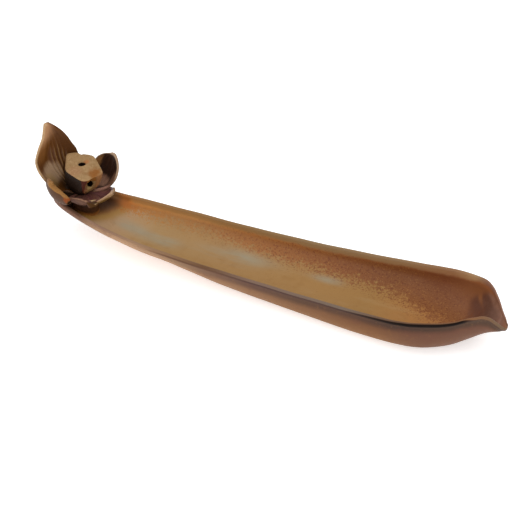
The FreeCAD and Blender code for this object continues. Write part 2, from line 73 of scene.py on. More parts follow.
FLOWER = np.array([-113.5, 0.0, 0.0])
PETALS = {
    "back_petal": dict(
        az=171.2, face=149.0, roll=-0.9, side=0.0,
        spine=[(3.0, 25.0), (9.2, 25.15), (15.17, 31.36), (20.82, 42.93), (21.26, 54.29), (22.9, 62.5)],
        bl=[(0.0, 5.59), (0.2, 9.79), (0.40, 13.7), (0.50, 14.2), (0.60, 13.7), (0.74, 10.0), (0.86, 5.3), (0.95, 3.0), (1.0, 1.6)],
        br=[(0.0, 5.61), (0.2, 9.81), (0.40, 13.6), (0.50, 14.2), (0.60, 14.0), (0.74, 11.2), (0.86, 7.6), (0.95, 4.1), (1.0, 1.7)],
        cup=[(0.0, 1.02), (0.3, 0.86), (0.6, 0.71), (1.0, 0.36)],
        th=[(0.0, 3.4), (0.5, 2.8), (1.0, 1.7)]),
    "near_left_petal": dict(
        az=-132.2, face=-118.9, roll=0.9, side=-1.0,
        spine=[(3.0, 24.6), (9.01, 24.48), (14.67, 25.19), (17.0, 28.95), (17.39, 34.73)],
        bl=[(0.0, 5.23), (0.3, 9.46), (0.6, 13.1), (0.8, 12.5), (0.93, 8.2), (1.0, 0.9)],
        br=[(0.0, 5.19), (0.3, 9.39), (0.6, 11.98), (0.8, 11.18), (0.93, 7.19), (1.0, 0.8)],
        cup=[(0.0, 0.76), (0.5, 0.61), (1.0, 0.51)],
        th=[(0.0, 3.6), (0.5, 3.6), (1.0, 3.0)]),
    "far_right_petal": dict(
        az=63.6, face=72.4, roll=0.7, side=0.6,
        spine=[(3.0, 25.2), (9.67, 25.29), (15.73, 29.46), (19.35, 35.77), (21.5, 41.8)],
        bl=[(0.0, 5.05), (0.3, 8.89), (0.6, 10.91), (0.8, 9.7), (0.93, 6.4), (1.0, 1.6)],
        br=[(0.0, 5.02), (0.3, 8.83), (0.6, 10.84), (0.8, 9.63), (0.93, 6.2), (1.0, 1.4)],
        cup=[(0.0, 0.89), (0.5, 0.86), (1.0, 0.74)],
        th=[(0.0, 3.3), (0.5, 2.9), (1.0, 2.2)]),
    "front_petal": dict(
        az=5.9, face=1.6, roll=-2.2, side=0.0,
        spine=[(3.0, 25.2), (7.95, 24.71), (12.58, 25.03), (16.68, 28.28)],
        bl=[(0.0, 5.0), (0.35, 8.3), (0.68, 9.9), (0.86, 9.3), (0.95, 6.6), (1.0, 0.8)],
        br=[(0.0, 5.0), (0.35, 8.2), (0.65, 9.1), (0.85, 7.2), (0.95, 4.4), (1.0, 0.6)],
        cup=[(0.0, 0.6), (0.5, 0.5), (1.0, 0.45)],
        th=[(0.0, 3.2), (0.5, 2.8), (1.0, 2.2)]),
    "near_right_petal": dict(
        az=-60.9, face=-67.2, roll=-1.2, side=0.1,
        spine=[(3.0, 25.2), (8.0, 25.4), (11.21, 25.99), (13.18, 27.89)],
        bl=[(0.0, 5.0), (0.35, 8.4), (0.65, 9.6), (0.85, 9.3), (0.95, 8.2), (1.0, 6.4)],
        br=[(0.0, 5.0), (0.35, 8.41), (0.65, 9.41), (0.85, 7.41), (0.95, 4.9), (1.0, 1.4)],
        cup=[(0.0, 0.5), (0.5, 0.45), (1.0, 0.4)],
        th=[(0.0, 3.2), (0.5, 3.0), (1.0, 2.4)]),
    "far_left_petal": dict(
        az=117.0, face=117.0, roll=0.0, side=0.0,
        spine=[(3.0, 25.2), (9.0, 25.6), (14.0, 28.2), (16.8, 32.4), (17.4, 36.0)],
        bl=[(0.0, 5.0), (0.3, 8.0), (0.6, 9.6), (0.8, 8.4), (0.93, 5.4), (1.0, 0.6)],
        br=[(0.0, 5.0), (0.3, 8.0), (0.6, 9.6), (0.8, 8.4), (0.93, 5.4), (1.0, 0.6)],
        cup=[(0.0, 0.9), (0.5, 0.8), (1.0, 0.7)],
        th=[(0.0, 3.2), (0.5, 2.8), (1.0, 2.2)]),
}

HOLDER_X, HOLDER_Y = -113.4, 0.0
HOLDER_FOOT, HOLDER_HEAD = 26.4, 43.2
HOLDER_LEAN = (-3.5, 0.5)
HOLDER_TILT = 0.12
HOLDER_CORNERS = [(-133.1, 9.6), (-61.0, 12.5), (-41.4, 13.7), (-22, 13.25), (2.0, 13.9), (82.3, 11.45), (132.4, 13.75), (155.3, 15.35)]
HOLDER_PROFILE = [(0, .415), (.05, .525), (.13, .65), (.25, .79), (.42, .915), (.62, .965),
                  (.80, 1.0), (.89, 1.0), (.95, .98), (.985, .94), (1, .90)]
BORE_R, SIDE_R = 1.75, 1.5
TOP_MOUTH = np.array([-114.0, 1.2, 42.9])
SIDE_AZ, SIDE_RISE = math.radians(-34.0), math.radians(20.0)
SIDE_MOUTH = np.array([HOLDER_X + 9.9 * math.cos(SIDE_AZ), HOLDER_Y + 9.9 * math.sin(SIDE_AZ), 37.2])
SIDE_AXIS = np.array([math.cos(SIDE_RISE) * math.cos(SIDE_AZ), math.cos(SIDE_RISE) * math.sin(SIDE_AZ),
                      math.sin(SIDE_RISE)])


# --------------------------------------------------------------------- helpers
def pchip(pts):
    xs = [p[0] for p in pts]
    ys = [p[1] for p in pts]
    n = len(xs)
    h = [xs[i + 1] - xs[i] for i in range(n - 1)]
    d = [(ys[i + 1] - ys[i]) / h[i] for i in range(n - 1)]
    m = [0.0] * n
    if n == 2:
        m = [d[0], d[0]]
    else:
        for i in range(1, n - 1):
            if d[i - 1] * d[i] > 0:
                w1 = 2 * h[i] + h[i - 1]
                w2 = h[i] + 2 * h[i - 1]
                m[i] = (w1 + w2) / (w1 / d[i - 1] + w2 / d[i])

        def end(h0, h1, d0, d1):
            v = ((2 * h0 + h1) * d0 - h0 * d1) / (h0 + h1)
            if v * d0 <= 0:
                return 0.0
            if d0 * d1 <= 0 and abs(v) > abs(3 * d0):
                return 3 * d0
            return v
        m[0] = end(h[0], h[1], d[0], d[1])
        m[-1] = end(h[-1], h[-2], d[-1], d[-2])

    def f(x):
        if x <= xs[0]:
            return ys[0]
        if x >= xs[-1]:
            return ys[-1]
        lo, hi = 0, n - 1
        while hi - lo > 1:
            k = (lo + hi) // 2
            if xs[k] <= x:
                lo = k
            else:
                hi = k
        t = (x - xs[lo]) / h[lo]
        t2 = t * t
        t3 = t2 * t
        return ((2 * t3 - 3 * t2 + 1) * ys[lo] + (t3 - 2 * t2 + t) * h[lo] * m[lo]
                + (-2 * t3 + 3 * t2) * ys[lo + 1] + (t3 - t2) * h[lo] * m[lo + 1])
    return f


def smooth(x, lo, hi):
    t = np.clip((np.asarray(x, float) - lo) / (hi - lo), 0, 1)
    return t * t * (3 - 2 * t)


def hump(x, c, w):
    return np.exp(-((np.asarray(x, float) - c) / w) ** 2)


def lattice(ix, iy, iz, seed):
    h = (ix * 374761393 + iy * 668265263 + iz * 2147483647 + seed * 974634777) & 0xFFFFFFFF
    h = ((h ^ (h >> 13)) * 1274126177) & 0xFFFFFFFF
    h = h ^ (h >> 16)
    return (h & 0xFFFF) / 65535.0


def vnoise(p, size, seed=0):
    """smooth lattice noise, -1 to 1, features of about `size`"""
    q = np.asarray(p, float) / size
    i = np.floor(q).astype(np.int64)
    f = q - i
    f = f * f * (3 - 2 * f)
    out = 0.0
    for dx in (0, 1):
        for dy in (0, 1):
            for dz in (0, 1):
                w = (f[..., 0] if dx else 1 - f[..., 0]) * (f[..., 1] if dy else 1 - f[..., 1]) \
                    * (f[..., 2] if dz else 1 - f[..., 2])
                out = out + w * lattice(i[..., 0] + dx, i[..., 1] + dy, i[..., 2] + dz, seed)
    return out * 2 - 1


def resample(pts, n):
    s = np.concatenate([[0], np.cumsum(np.linalg.norm(np.diff(pts, axis=0), axis=1))])
    v = np.linspace(0, s[-1], n)
    return np.stack([np.interp(v, s, pts[:, k]) for k in range(3)], 1)


def unit(v):
    v = np.asarray(v, float)
    return v / np.linalg.norm(v)


def skin_mesh(rings, fields):
    """closed mesh through rings (m, n, 3); fields are per-point values (m, n)"""
    m, n, _ = rings.shape
    verts = rings.reshape(-1, 3)
    idx = np.arange(m * n).reshape(m, n)
    nxt = np.roll(idx, -1, axis=1)
    quads = np.stack([idx[:-1], nxt[:-1], nxt[1:], idx[1:]], -1).reshape(-1, 4).tolist()
    c0, c1 = len(verts), len(verts) + 1
    verts = np.vstack([verts, rings[0].mean(0), rings[-1].mean(0)])
    tris = [[c0, int(b), int(a)] for a, b in zip(idx[0], nxt[0])]
    tris += [[c1, int(a), int(b)] for a, b in zip(idx[-1], nxt[-1])]
    vals = {k: np.concatenate([f.reshape(-1), [f[0].mean(), f[-1].mean()]]) for k, f in fields.items()}
    return verts, quads + tris, vals


def dome(rings, fields, start, end):
    """adds shrinking rings at both ends so that they close round"""
    out, keep = [], {k: [] for k in fields}
    steps = (0.95, 0.8, 0.6, 0.35, 0.15)
    if start is not None:
        c = rings[0].mean(0)
        for a in steps:
            out.append(c + (rings[0] - c) * math.cos(a * math.pi / 2) + np.asarray(start) * math.sin(a * math.pi / 2))
            for k in fields:
                keep[k].append(fields[k][0])
    for i in range(len(rings)):
        out.append(rings[i])
        for k in fields:
            keep[k].append(fields[k][i])
    if end is not None:
        c = rings[-1].mean(0)
        for a in steps[::-1]:
            out.append(c + (rings[-1] - c) * math.cos(a * math.pi / 2) + np.asarray(end) * math.sin(a * math.pi / 2))
            for k in fields:
                keep[k].append(fields[k][-1])
    return np.array(out), {k: np.array(v) for k, v in keep.items()}


def put(name, verts, faces, vals, body, node, material):
    me = bpy.data.meshes.new(name)
    me.from_pydata(((np.asarray(verts) + SHIFT) * 0.001).tolist(), [], faces)
    bm = bmesh.new()
    bm.from_mesh(me)
    bmesh.ops.recalc_face_normals(bm, faces=bm.faces)
    bm.to_mesh(me)
    bm.free()
    for key, v in vals.items():
        a = me.attributes.new(key, "FLOAT", "POINT")
        a.data.foreach_set("value", np.asarray(v, np.float32))
    me.polygons.foreach_set("use_smooth", np.ones(len(me.polygons), bool))
    me.update()
    ob = bpy.data.objects.new(name, me)
    scene.collection.objects.link(ob)
    me.materials.append(material)
    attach(ob, body)
    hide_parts(node)
    return ob


def rgb(r, g, b):
    def lin(c):
        c = c / 255.0
        return c / 12.92 if c <= 0.04045 else ((c + 0.055) / 1.055) ** 2.4
    return (lin(r), lin(g), lin(b), 1.0)


class Nodes:
    """a small writer for node trees"""

    def __init__(self, name):
        self.mat = bpy.data.materials.new(name)
        self.mat.use_nodes = True
        self.tree = self.mat.node_tree
        self.tree.nodes.clear()
        out = self.tree.nodes.new("ShaderNodeOutputMaterial")
        self.bsdf = self.tree.nodes.new("ShaderNodeBsdfPrincipled")
        self.tree.links.new(self.bsdf.outputs[0], out.inputs["Surface"])
        self.obj = self.tree.nodes.new("ShaderNodeTexCoord").outputs["Object"]
        self.attrs = {}

    def feed(self, socket, v):
        if isinstance(v, bpy.types.NodeSocket):
            self.tree.links.new(v, socket)
        else:
            socket.default_value = v

    def attr(self, name):
        if name not in self.attrs:
            n = self.tree.nodes.new("ShaderNodeAttribute")
            n.attribute_name = name
            self.attrs[name] = n.outputs["Fac"]
        return self.attrs[name]

    def xyz(self):
        n = self.tree.nodes.new("ShaderNodeSeparateXYZ")
        self.tree.links.new(self.obj, n.inputs[0])
        return n.outputs[0], n.outputs[1], n.outputs[2]

    def vec(self, x, y, z):
        n = self.tree.nodes.new("ShaderNodeCombineXYZ")
        for s, v in zip(n.inputs, (x, y, z)):
            self.feed(s, v)
        return n.outputs[0]

    def math(self, op, a, b=0.0, clamp=False):
        n = self.tree.nodes.new("ShaderNodeMath")
        n.operation = op
        n.use_clamp = clamp
        self.feed(n.inputs[0], a)
        self.feed(n.inputs[1], b)
        return n.outputs[0]

    def add(self, *v):
        s = v[0]
        for q in v[1:]:
            s = self.math("ADD", s, q)
        return s

    def mul(self, *v):
        s = v[0]
        for q in v[1:]:
            s = self.math("MULTIPLY", s, q)
        return s

    def step(self, v, lo, hi):
        """0 at lo, 1 at hi, smooth between; lo may be above hi"""
        n = self.tree.nodes.new("ShaderNodeMapRange")
        n.interpolation_type = "SMOOTHSTEP"
        self.feed(n.inputs["Value"], v)
        if lo < hi:
            ends = (lo, hi, 0.0, 1.0)
        else:
            ends = (hi, lo, 1.0, 0.0)
        for k, e in zip(("From Min", "From Max", "To Min", "To Max"), ends):
            n.inputs[k].default_value = e
        return n.outputs["Result"]

    def lerp(self, v, a, b, c, d):
        n = self.tree.nodes.new("ShaderNodeMapRange")
        self.feed(n.inputs["Value"], v)
        for k, e in zip(("From Min", "From Max", "To Min", "To Max"), (a, b, c, d)):
            n.inputs[k].default_value = e
        return n.outputs["Result"]

    def mix(self, fac, a, b, mode="MIX"):
        n = self.tree.nodes.new("ShaderNodeMix")
        n.data_type = "RGBA"
        n.blend_type = mode
        n.clamp_factor = True
        self.feed(n.inputs[0], fac)
        self.feed(n.inputs[6], a)
        self.feed(n.inputs[7], b)
        return n.outputs[2]

    def ramp(self, v, stops):
        n = self.tree.nodes.new("ShaderNodeValToRGB")
        e = n.color_ramp.elements
        while len(e) < len(stops):
            e.new(0.5)
        for q, (p, c) in zip(e, stops):
            q.position = p
            q.color = c
        self.feed(n.inputs[0], v)
        return n.outputs[0]

    def noise(self, scale, detail=3.0, rough=0.55, vec=None, distortion=0.0):
        n = self.tree.nodes.new("ShaderNodeTexNoise")
        self.feed(n.inputs["Vector"], self.obj if vec is None else vec)
        n.inputs["Scale"].default_value = scale
        n.inputs["Detail"].default_value = detail
        n.inputs["Roughness"].default_value = rough
        n.inputs["Distortion"].default_value = distortion
        return n.outputs[0]

    def bump(self, height, strength, distance):
        n = self.tree.nodes.new("ShaderNodeBump")
        n.inputs["Strength"].default_value = strength
        n.inputs["Distance"].default_value = distance
        self.feed(n.inputs["Height"], height)
        self.tree.links.new(n.outputs[0], self.bsdf.inputs["Normal"])

    def done(self, colour, rough, coat=0.2, coat_rough=0.12, spec=0.5):
        self.feed(self.bsdf.inputs["Base Color"], colour)
        self.feed(self.bsdf.inputs["Roughness"], rough)
        self.feed(self.bsdf.inputs["Specular IOR Level"], spec)
        self.feed(self.bsdf.inputs["Coat Weight"], coat)
        self.bsdf.inputs["Coat Roughness"].default_value = coat_rough
        return self.mat


# ------------------------------------------------------------------- materials
def tray_glaze():
    k = Nodes("tray_glaze")
    inside, drop, wall = k.attr("inside"), k.attr("drop"), k.attr("wall")
    milky_glaze_and_sheen, flower_shade_and_glaze, tip, band, foot = k.attr("milky_glaze_and_sheen"), k.attr("flower_shade_and_glaze"), k.attr("tip"), k.attr("band"), k.attr("foot")
    ember, shade_fringe_and_glaze = k.attr("ember"), k.attr("shade_fringe_and_glaze")
    x, y, z = k.xyz()
    big = k.noise(32, 3, 0.5)
    mid = k.noise(150, 4, 0.6)
    fine = k.noise(520, 3, 0.7)
    grain = k.noise(1250, 2, 0.7)
    dust = k.noise(900, 3, 0.72)
    drift = k.noise(1.0, 3, 0.55, vec=k.vec(k.mul(x, 30.0), k.mul(y, 160.0), k.mul(z, 160.0)))
    reach = k.lerp(x, -0.10, 0.12, 0.0, 1.0)

    # trough: tan pool on the floor, red-brown where the glaze runs thin on the wall
    floor = k.ramp(reach, [(0.03, rgb(176, 142, 106)), (0.14, rgb(164, 130, 84)), (0.32, rgb(160, 123, 76)), (0.59, rgb(158, 119, 69)),
                           (0.73, rgb(154, 115, 64)), (0.84, rgb(162, 112, 59)), (0.93, rgb(160, 105, 54))])
    floor = k.mix(k.mul(k.step(mid, 0.45, 0.75), 0.35), floor, rgb(144, 103, 55))
    floor = k.mix(k.mul(k.step(drift, 0.55, 0.75), 0.3), floor, rgb(168, 136, 92))
    # yellow-brown fringe round the painted shadow under the flower, partly glaze
    floor = k.mix(k.mul(shade_fringe_and_glaze, 0.9), floor, rgb(159, 117, 50))
    red = k.ramp(reach, [(0.03, rgb(172, 100, 34)), (0.08, rgb(176, 116, 54)), (0.17, rgb(168, 117, 64)), (0.26, rgb(160, 109, 59)), (0.38, rgb(157, 101, 52)),
                         (0.51, rgb(147, 92, 47)), (0.64, rgb(133, 79, 40)), (0.77, rgb(116, 66, 33)), (0.88, rgb(118, 65, 35)),
                         (0.95, rgb(134, 82, 48))])
    low_red = k.mul(k.step(reach, 0.55, 0.85), k.step(wall, -0.42, -0.10), k.step(wall, 0.05, -0.05))
    red = k.mix(k.mul(low_red, 0.7), red, rgb(130, 79, 36))
    red = k.mix(k.mul(k.step(drift, 0.5, 0.75), 0.3), red, rgb(146, 92, 46))
    rust = k.mul(k.step(wall, -0.60, -0.10), k.step(wall, 0.20, 0.02))
    edge = k.add(wall, k.mul(k.add(fine, -0.5), 0.42), k.mul(k.add(grain, -0.5), 0.34), k.mul(k.add(mid, -0.5), 0.18))
    pool = k.step(edge, -0.07, 0.06)
    inner = k.mix(pool, red, floor)
    inner = k.mix(k.mul(k.step(dust, 0.54, 0.61), rust, k.lerp(x, -0.06, 0.015, 0.14, 0.72)), inner, rgb(104, 50, 24))
    inner = k.mix(k.mul(k.step(grain, 0.42, 0.34), rust, 0.5), inner, rgb(168, 118, 62))
    inner = k.mix(k.mul(k.step(dust, 0.62, 0.70), k.step(wall, 0.02, 0.2), k.lerp(x, -0.06, 0.015, 0.2, 0.45)), inner, rgb(128, 84, 42))
    # milky blue-grey glaze streaks on the floor, partly painted reflection
    inner = k.mix(k.mul(milky_glaze_and_sheen, k.step(drift, 0.25, 0.6), 0.85), inner, rgb(152, 142, 119))
    streak = k.noise(1.0, 3, 0.6, vec=k.vec(k.mul(x, 420.0), k.mul(y, 420.0), k.mul(z, 60.0)))
    swept = k.lerp(k.add(k.mul(x, 0.913), k.mul(y, 0.407)), 0.106, 0.120, 0.0, 1.0)
    plum = k.ramp(swept, [(0.11, rgb(112, 66, 42)), (0.25, rgb(98, 57, 40)), (0.50, rgb(98, 59, 44)), (0.61, rgb(96, 60, 47)),
                          (0.71, rgb(110, 74, 60)), (0.81, rgb(128, 92, 75)), (0.93, rgb(126, 90, 74))])
    plum = k.mix(k.mul(k.step(swept, 0.33, 0.42), k.step(swept, 0.54, 0.45), k.step(z, 0.0105, 0.0135)), plum, rgb(142, 90, 54))
    plum = k.mix(k.mul(k.step(z, 0.0178, 0.0160), k.step(x, 0.117, 0.122), 0.75), plum, rgb(94, 64, 52))
    plum = k.mix(k.mul(k.step(z, 0.0172, 0.0190), k.step(x, 0.117, 0.121), 0.75), plum, rgb(150, 110, 90))
    inner = k.mix(k.mul(tip, k.lerp(streak, 0.35, 0.65, 0.8, 1.0)), inner, k.mix(k.mul(k.step(streak, 0.45, 0.65), 0.5), plum, rgb(118, 78, 58)))
    # painted shadow under the flower, partly dark glaze: brown at its edge, darkest near the base
    shade = k.add(flower_shade_and_glaze, k.mul(k.add(mid, -0.5), 0.2))
    inner = k.mix(k.mul(k.step(shade, 0.0, 0.45), 0.9), inner, k.mix(k.step(fine, 0.4, 0.7), rgb(130, 84, 36), rgb(118, 74, 28)))
    inner = k.mix(k.step(shade, 0.28, 0.72), inner, rgb(92, 55, 16))
    inner = k.mix(k.step(shade, 0.6, 1.0), inner, k.mix(k.step(mid, 0.4, 0.7), rgb(62, 32, 4), rgb(76, 42, 9)))
    inner = k.mix(k.mul(ember, k.lerp(mid, 0.3, 0.7, 0.75, 1.0)), inner, rgb(176, 104, 40))
    narrow = k.add(k.mul(k.step(x, 0.106, 0.116), 1.6), k.mul(k.step(y, 0.0, 0.006), -0.7))
    crest = k.step(k.add(drop, k.mul(k.add(mid, -0.5), 2.4), k.mul(k.add(drift, -0.5), 2.0), narrow), 4.4, 2.0)
    crest = k.mul(crest, k.lerp(ember, 0.2, 0.8, 1.0, 0.35))
    far_rim = k.ramp(reach, [(0.05, rgb(144, 104, 60)), (0.31, rgb(134, 101, 60)), (0.55, rgb(136, 111, 76)), (0.78, rgb(142, 112, 77)),
                             (0.90, rgb(146, 106, 72)), (0.955, rgb(164, 130, 90)), (0.99, rgb(128, 90, 72))])
    near_rim = k.ramp(k.lerp(x, -0.10, 0.135, 0.0, 1.0),
                      [(0.05, rgb(142, 110, 90)), (0.14, rgb(152, 120, 94)), (0.24, rgb(132, 100, 74)), (0.32, rgb(104, 74, 52)), (0.44, rgb(122, 98, 84)),
                       (0.66, rgb(114, 98, 86)), (0.75, rgb(104, 80, 64)), (0.85, rgb(94, 66, 46)), (0.93, rgb(130, 90, 60)),
                       (0.985, rgb(112, 90, 70))])
    near_rim = k.mix(k.step(x, -0.098, -0.106), near_rim, rgb(96, 67, 52))
    rim = k.mix(k.step(y, 0.004, -0.004), far_rim, near_rim)
    inner = k.mix(k.mul(crest, 0.85), inner, rim)
    # painted light: the far wall's upper band is made lighter, more so towards the stern
    lift = k.mul(k.step(drop, 1.1, 2.1), k.step(drop, 5.8, 3.5), k.step(y, 0.0, 0.006), k.step(x, 0.126, 0.120), k.step(flower_shade_and_glaze, 0.3, 0.0))
    inner = k.mix(lift, inner, (1.34, 1.34, 1.34, 1.0), "MULTIPLY")
    inner = k.mix(k.mul(lift, k.step(x, 0.0, -0.06)), inner, (1.10, 1.10, 1.10, 1.0), "MULTIPLY")

    # outside: bare rim line; under it a dark band of dark glaze and painted shade, with a painted shadow line; tan low
    # on the hull, lighter low down partly as painted bounce light
    depth = k.lerp(drop, 0.0, 22.0, 0.0, 1.0)
    ramp = k.ramp(depth, [(0.05, rgb(92, 63, 46)), (0.16, rgb(95, 64, 47)), (0.36, rgb(114, 77, 52)), (0.75, rgb(138, 97, 61))])
    pale = k.ramp(depth, [(0.05, rgb(174, 138, 108)), (0.3, rgb(176, 138, 104)), (0.8, rgb(178, 134, 96))])
    outer = k.mix(band, pale, ramp)
    outer = k.mix(k.mul(k.step(x, 0.07, 0.10), 0.65), outer, rgb(98, 66, 56))
    outer = k.mix(k.mul(k.step(x, -0.096, -0.112), 0.55), outer, rgb(104, 68, 57))
    # dark band under the near rim: dark glaze with painted shade
    rim_band_glaze_and_shade = k.ramp(k.lerp(x, -0.10, 0.135, 0.0, 1.0),
                  [(0.24, rgb(138, 108, 82)), (0.34, rgb(114, 86, 68)), (0.44, rgb(96, 70, 59)), (0.56, rgb(88, 65, 52)), (0.70, rgb(84, 60, 48)), (0.80, rgb(66, 50, 42)),
                   (0.93, rgb(78, 58, 46))])
    ragged = k.mul(k.add(drift, -0.5), 2.6)
    dark = k.mul(k.step(x, -0.075, -0.03), k.step(k.add(drop, k.mul(ragged, 0.5)), 1.1, 2.0), k.step(k.add(drop, ragged), 7.4, 4.0))
    outer = k.mix(k.mul(dark, 0.95), outer, rim_band_glaze_and_shade)
    outer = k.mix(k.mul(k.step(mid, 0.55, 0.75), 0.35), outer, rgb(106, 68, 56))
    outer = k.mix(k.mul(k.step(fine, 0.55, 0.75), 0.25), outer, rgb(140, 98, 58))
    # thin painted shadow line just under the near rim, darkest towards the tip
    line = k.mul(k.step(x, -0.072, -0.04), k.step(drop, 0.2, 0.5), k.step(drop, 2.9, 1.9), k.step(x, 0.121, 0.115))
    painted_rim_shadow = k.ramp(k.lerp(x, -0.10, 0.135, 0.0, 1.0),
                    [(0.2, rgb(92, 62, 44)), (0.34, rgb(96, 68, 52)), (0.44, rgb(76, 54, 50)), (0.58, rgb(78, 56, 50)), (0.66, rgb(70, 50, 44)),
                     (0.73, rgb(34, 22, 18)), (0.80, rgb(10, 5, 3)), (0.92, rgb(8, 3, 2)), (0.97, rgb(40, 28, 22))])
    outer = k.mix(k.mul(line, 0.95), outer, painted_rim_shadow)
    bare_rim = k.add(drop, k.lerp(x, 0.055, 0.095, -1.3, -0.4), k.lerp(x, 0.115, 0.121, 0.0, -1.0))
    outer = k.mix(k.step(bare_rim, 0.3, -0.3), outer, rim)
    colour = k.mix(inside, outer, inner)
    bare = k.step(k.add(foot, k.mul(k.add(fine, -0.5), 0.5)), 0.35, 0.65)
    colour = k.mix(bare, colour, k.mix(fine, rgb(186, 160, 126), rgb(164, 134, 100)))
    colour = k.mix(k.mul(k.step(grain, 0.70, 0.76), 0.3), colour, rgb(70, 42, 26))
    rough = k.add(k.lerp(mid, 0.3, 0.7, 0.40, 0.56), k.mul(bare, 0.3), k.mul(crest, 0.06))
    k.bump(k.add(k.mul(mid, 0.8), k.mul(fine, 0.35), k.mul(grain, 0.12)), 0.5, 0.00018)
    return k.done(colour, rough, k.lerp(inside, 0.0, 1.0, 0.0, 0.03), 0.2, k.lerp(inside, 0.0, 1.0, 0.07, 0.22))


def petal_glaze(name, base, deep, tip_c, rim_c, out_c, out_low, marks=(), rim_w=1.2, tip_at=0.9, rim_t=(-3, -2), rim_s=(0.3, 0.5),
                vein_c=None, late=(), tip_lean=None, rim_grow=0.0, rim_out=1.0, rim_soft=0.45):
    """marks: (s centre, s width, t centre, t width, strength, colour), on the inner face; late ones on both faces"""
    k = Nodes(name)
    inside, s, t, edge = k.attr("inside"), k.attr("s"), k.attr("t"), k.attr("edge")
    vein = k.attr("vein")
    mid = k.noise(190, 4, 0.6)
    fine = k.noise(900, 3, 0.6)
    grain = k.noise(2400, 2, 0.6)
    run = k.noise(1.0, 4, 0.6, vec=k.vec(k.mul(t, 5.5), k.mul(s, 1.6), 0.0))
    inner = k.mix(k.step(run, 0.35, 0.68), base, deep)
    inner = k.mix(k.mul(k.step(mid, 0.5, 0.75), 0.5), inner, deep)

    def blot(under, sc, sw, tc, tw, power, c):
        ds = k.math("DIVIDE", k.add(s, -sc), sw)
        dt = k.math("DIVIDE", k.add(t, -tc), tw)
        r2 = k.add(k.mul(ds, ds), k.mul(dt, dt), k.mul(k.add(mid, -0.5), 0.7), k.mul(k.add(run, -0.5), 1.3))
        return k.mix(k.mul(k.step(r2, 1.3, 0.1), power), under, c)
    for m in marks:
        inner = blot(inner, *m)
    inner = k.mix(k.mul(k.step(vein, 0.25, 0.9), 0.55), inner, deep if vein_c is None else vein_c)
    if tip_lean is None:
        light = k.step(k.add(s, k.mul(k.add(mid, -0.5), 0.18)), tip_at - 0.14, tip_at + 0.06)
    else:
        light = k.step(k.add(t, k.mul(k.add(s, -tip_at), tip_lean), k.mul(k.add(mid, -0.5), 0.5)), -0.85, 0.50)
    inner = k.mix(light, inner, tip_c)
    outer = k.mix(k.step(k.add(s, k.mul(k.add(mid, -0.5), 0.35)), 0.35, 0.85), out_low, out_c)
    outer = k.mix(k.mul(k.step(run, 0.5, 0.72), 0.5), outer, out_low)
    colour = k.mix(inside, outer, inner)
    wide = k.mul(k.step(t, 0.0, 0.9), -rim_grow)
    lip = k.step(k.add(edge, wide, k.mul(k.add(mid, -0.5), 0.6)), rim_w + rim_soft, rim_w - rim_soft)
    lip = k.mul(lip, k.step(t, *rim_t), k.step(s, *rim_s), k.lerp(inside, 0.0, 0.6, rim_out, 1.0))
    colour = k.mix(k.mul(lip, 0.92), colour, k.mix(k.mul(k.step(fine, 0.5, 0.75), 0.35), rim_c, deep))
    for m in late:
        colour = blot(colour, *m)
    colour = k.mix(k.mul(k.step(grain, 0.66, 0.74), 0.3), colour, rgb(50, 30, 18))
    rough = k.lerp(mid, 0.3, 0.7, 0.34, 0.52)
    k.bump(k.add(k.mul(mid, 0.7), k.mul(fine, 0.3), k.mul(grain, 0.1), k.mul(run, 0.5)), 0.5, 0.0002)
    return k.done(colour, rough, 0.0, 0.2, k.lerp(inside, 0.0, 1.0, 0.05, 0.18))


def base_glaze():
    k = Nodes("flower_base_glaze")
    mid = k.noise(220, 4, 0.6)
    fine = k.noise(1100, 3, 0.6)
    x, y, z = k.xyz()
    colour = k.mix(k.step(mid, 0.4, 0.7), rgb(50, 26, 12), rgb(64, 34, 17))
    colour = k.mix(k.mul(k.step(fine, 0.6, 0.75), 0.4), colour, rgb(28, 28, 14))
    colour = k.mix(k.mul(k.step(x, -0.106, -0.100), 0.7), colour, rgb(74, 40, 8))
    colour = k.mix(k.step(k.add(k.attr("rise"), k.mul(k.add(mid, -0.5), 0.10)), 0.33, 0.18), colour, rgb(136, 86, 36))
    k.bump(k.add(mid, k.mul(fine, 0.4)), 0.5, 0.0003)
    return k.done(colour, k.lerp(mid, 0.3, 0.7, 0.35, 0.55), 0.04, 0.2, 0.22)


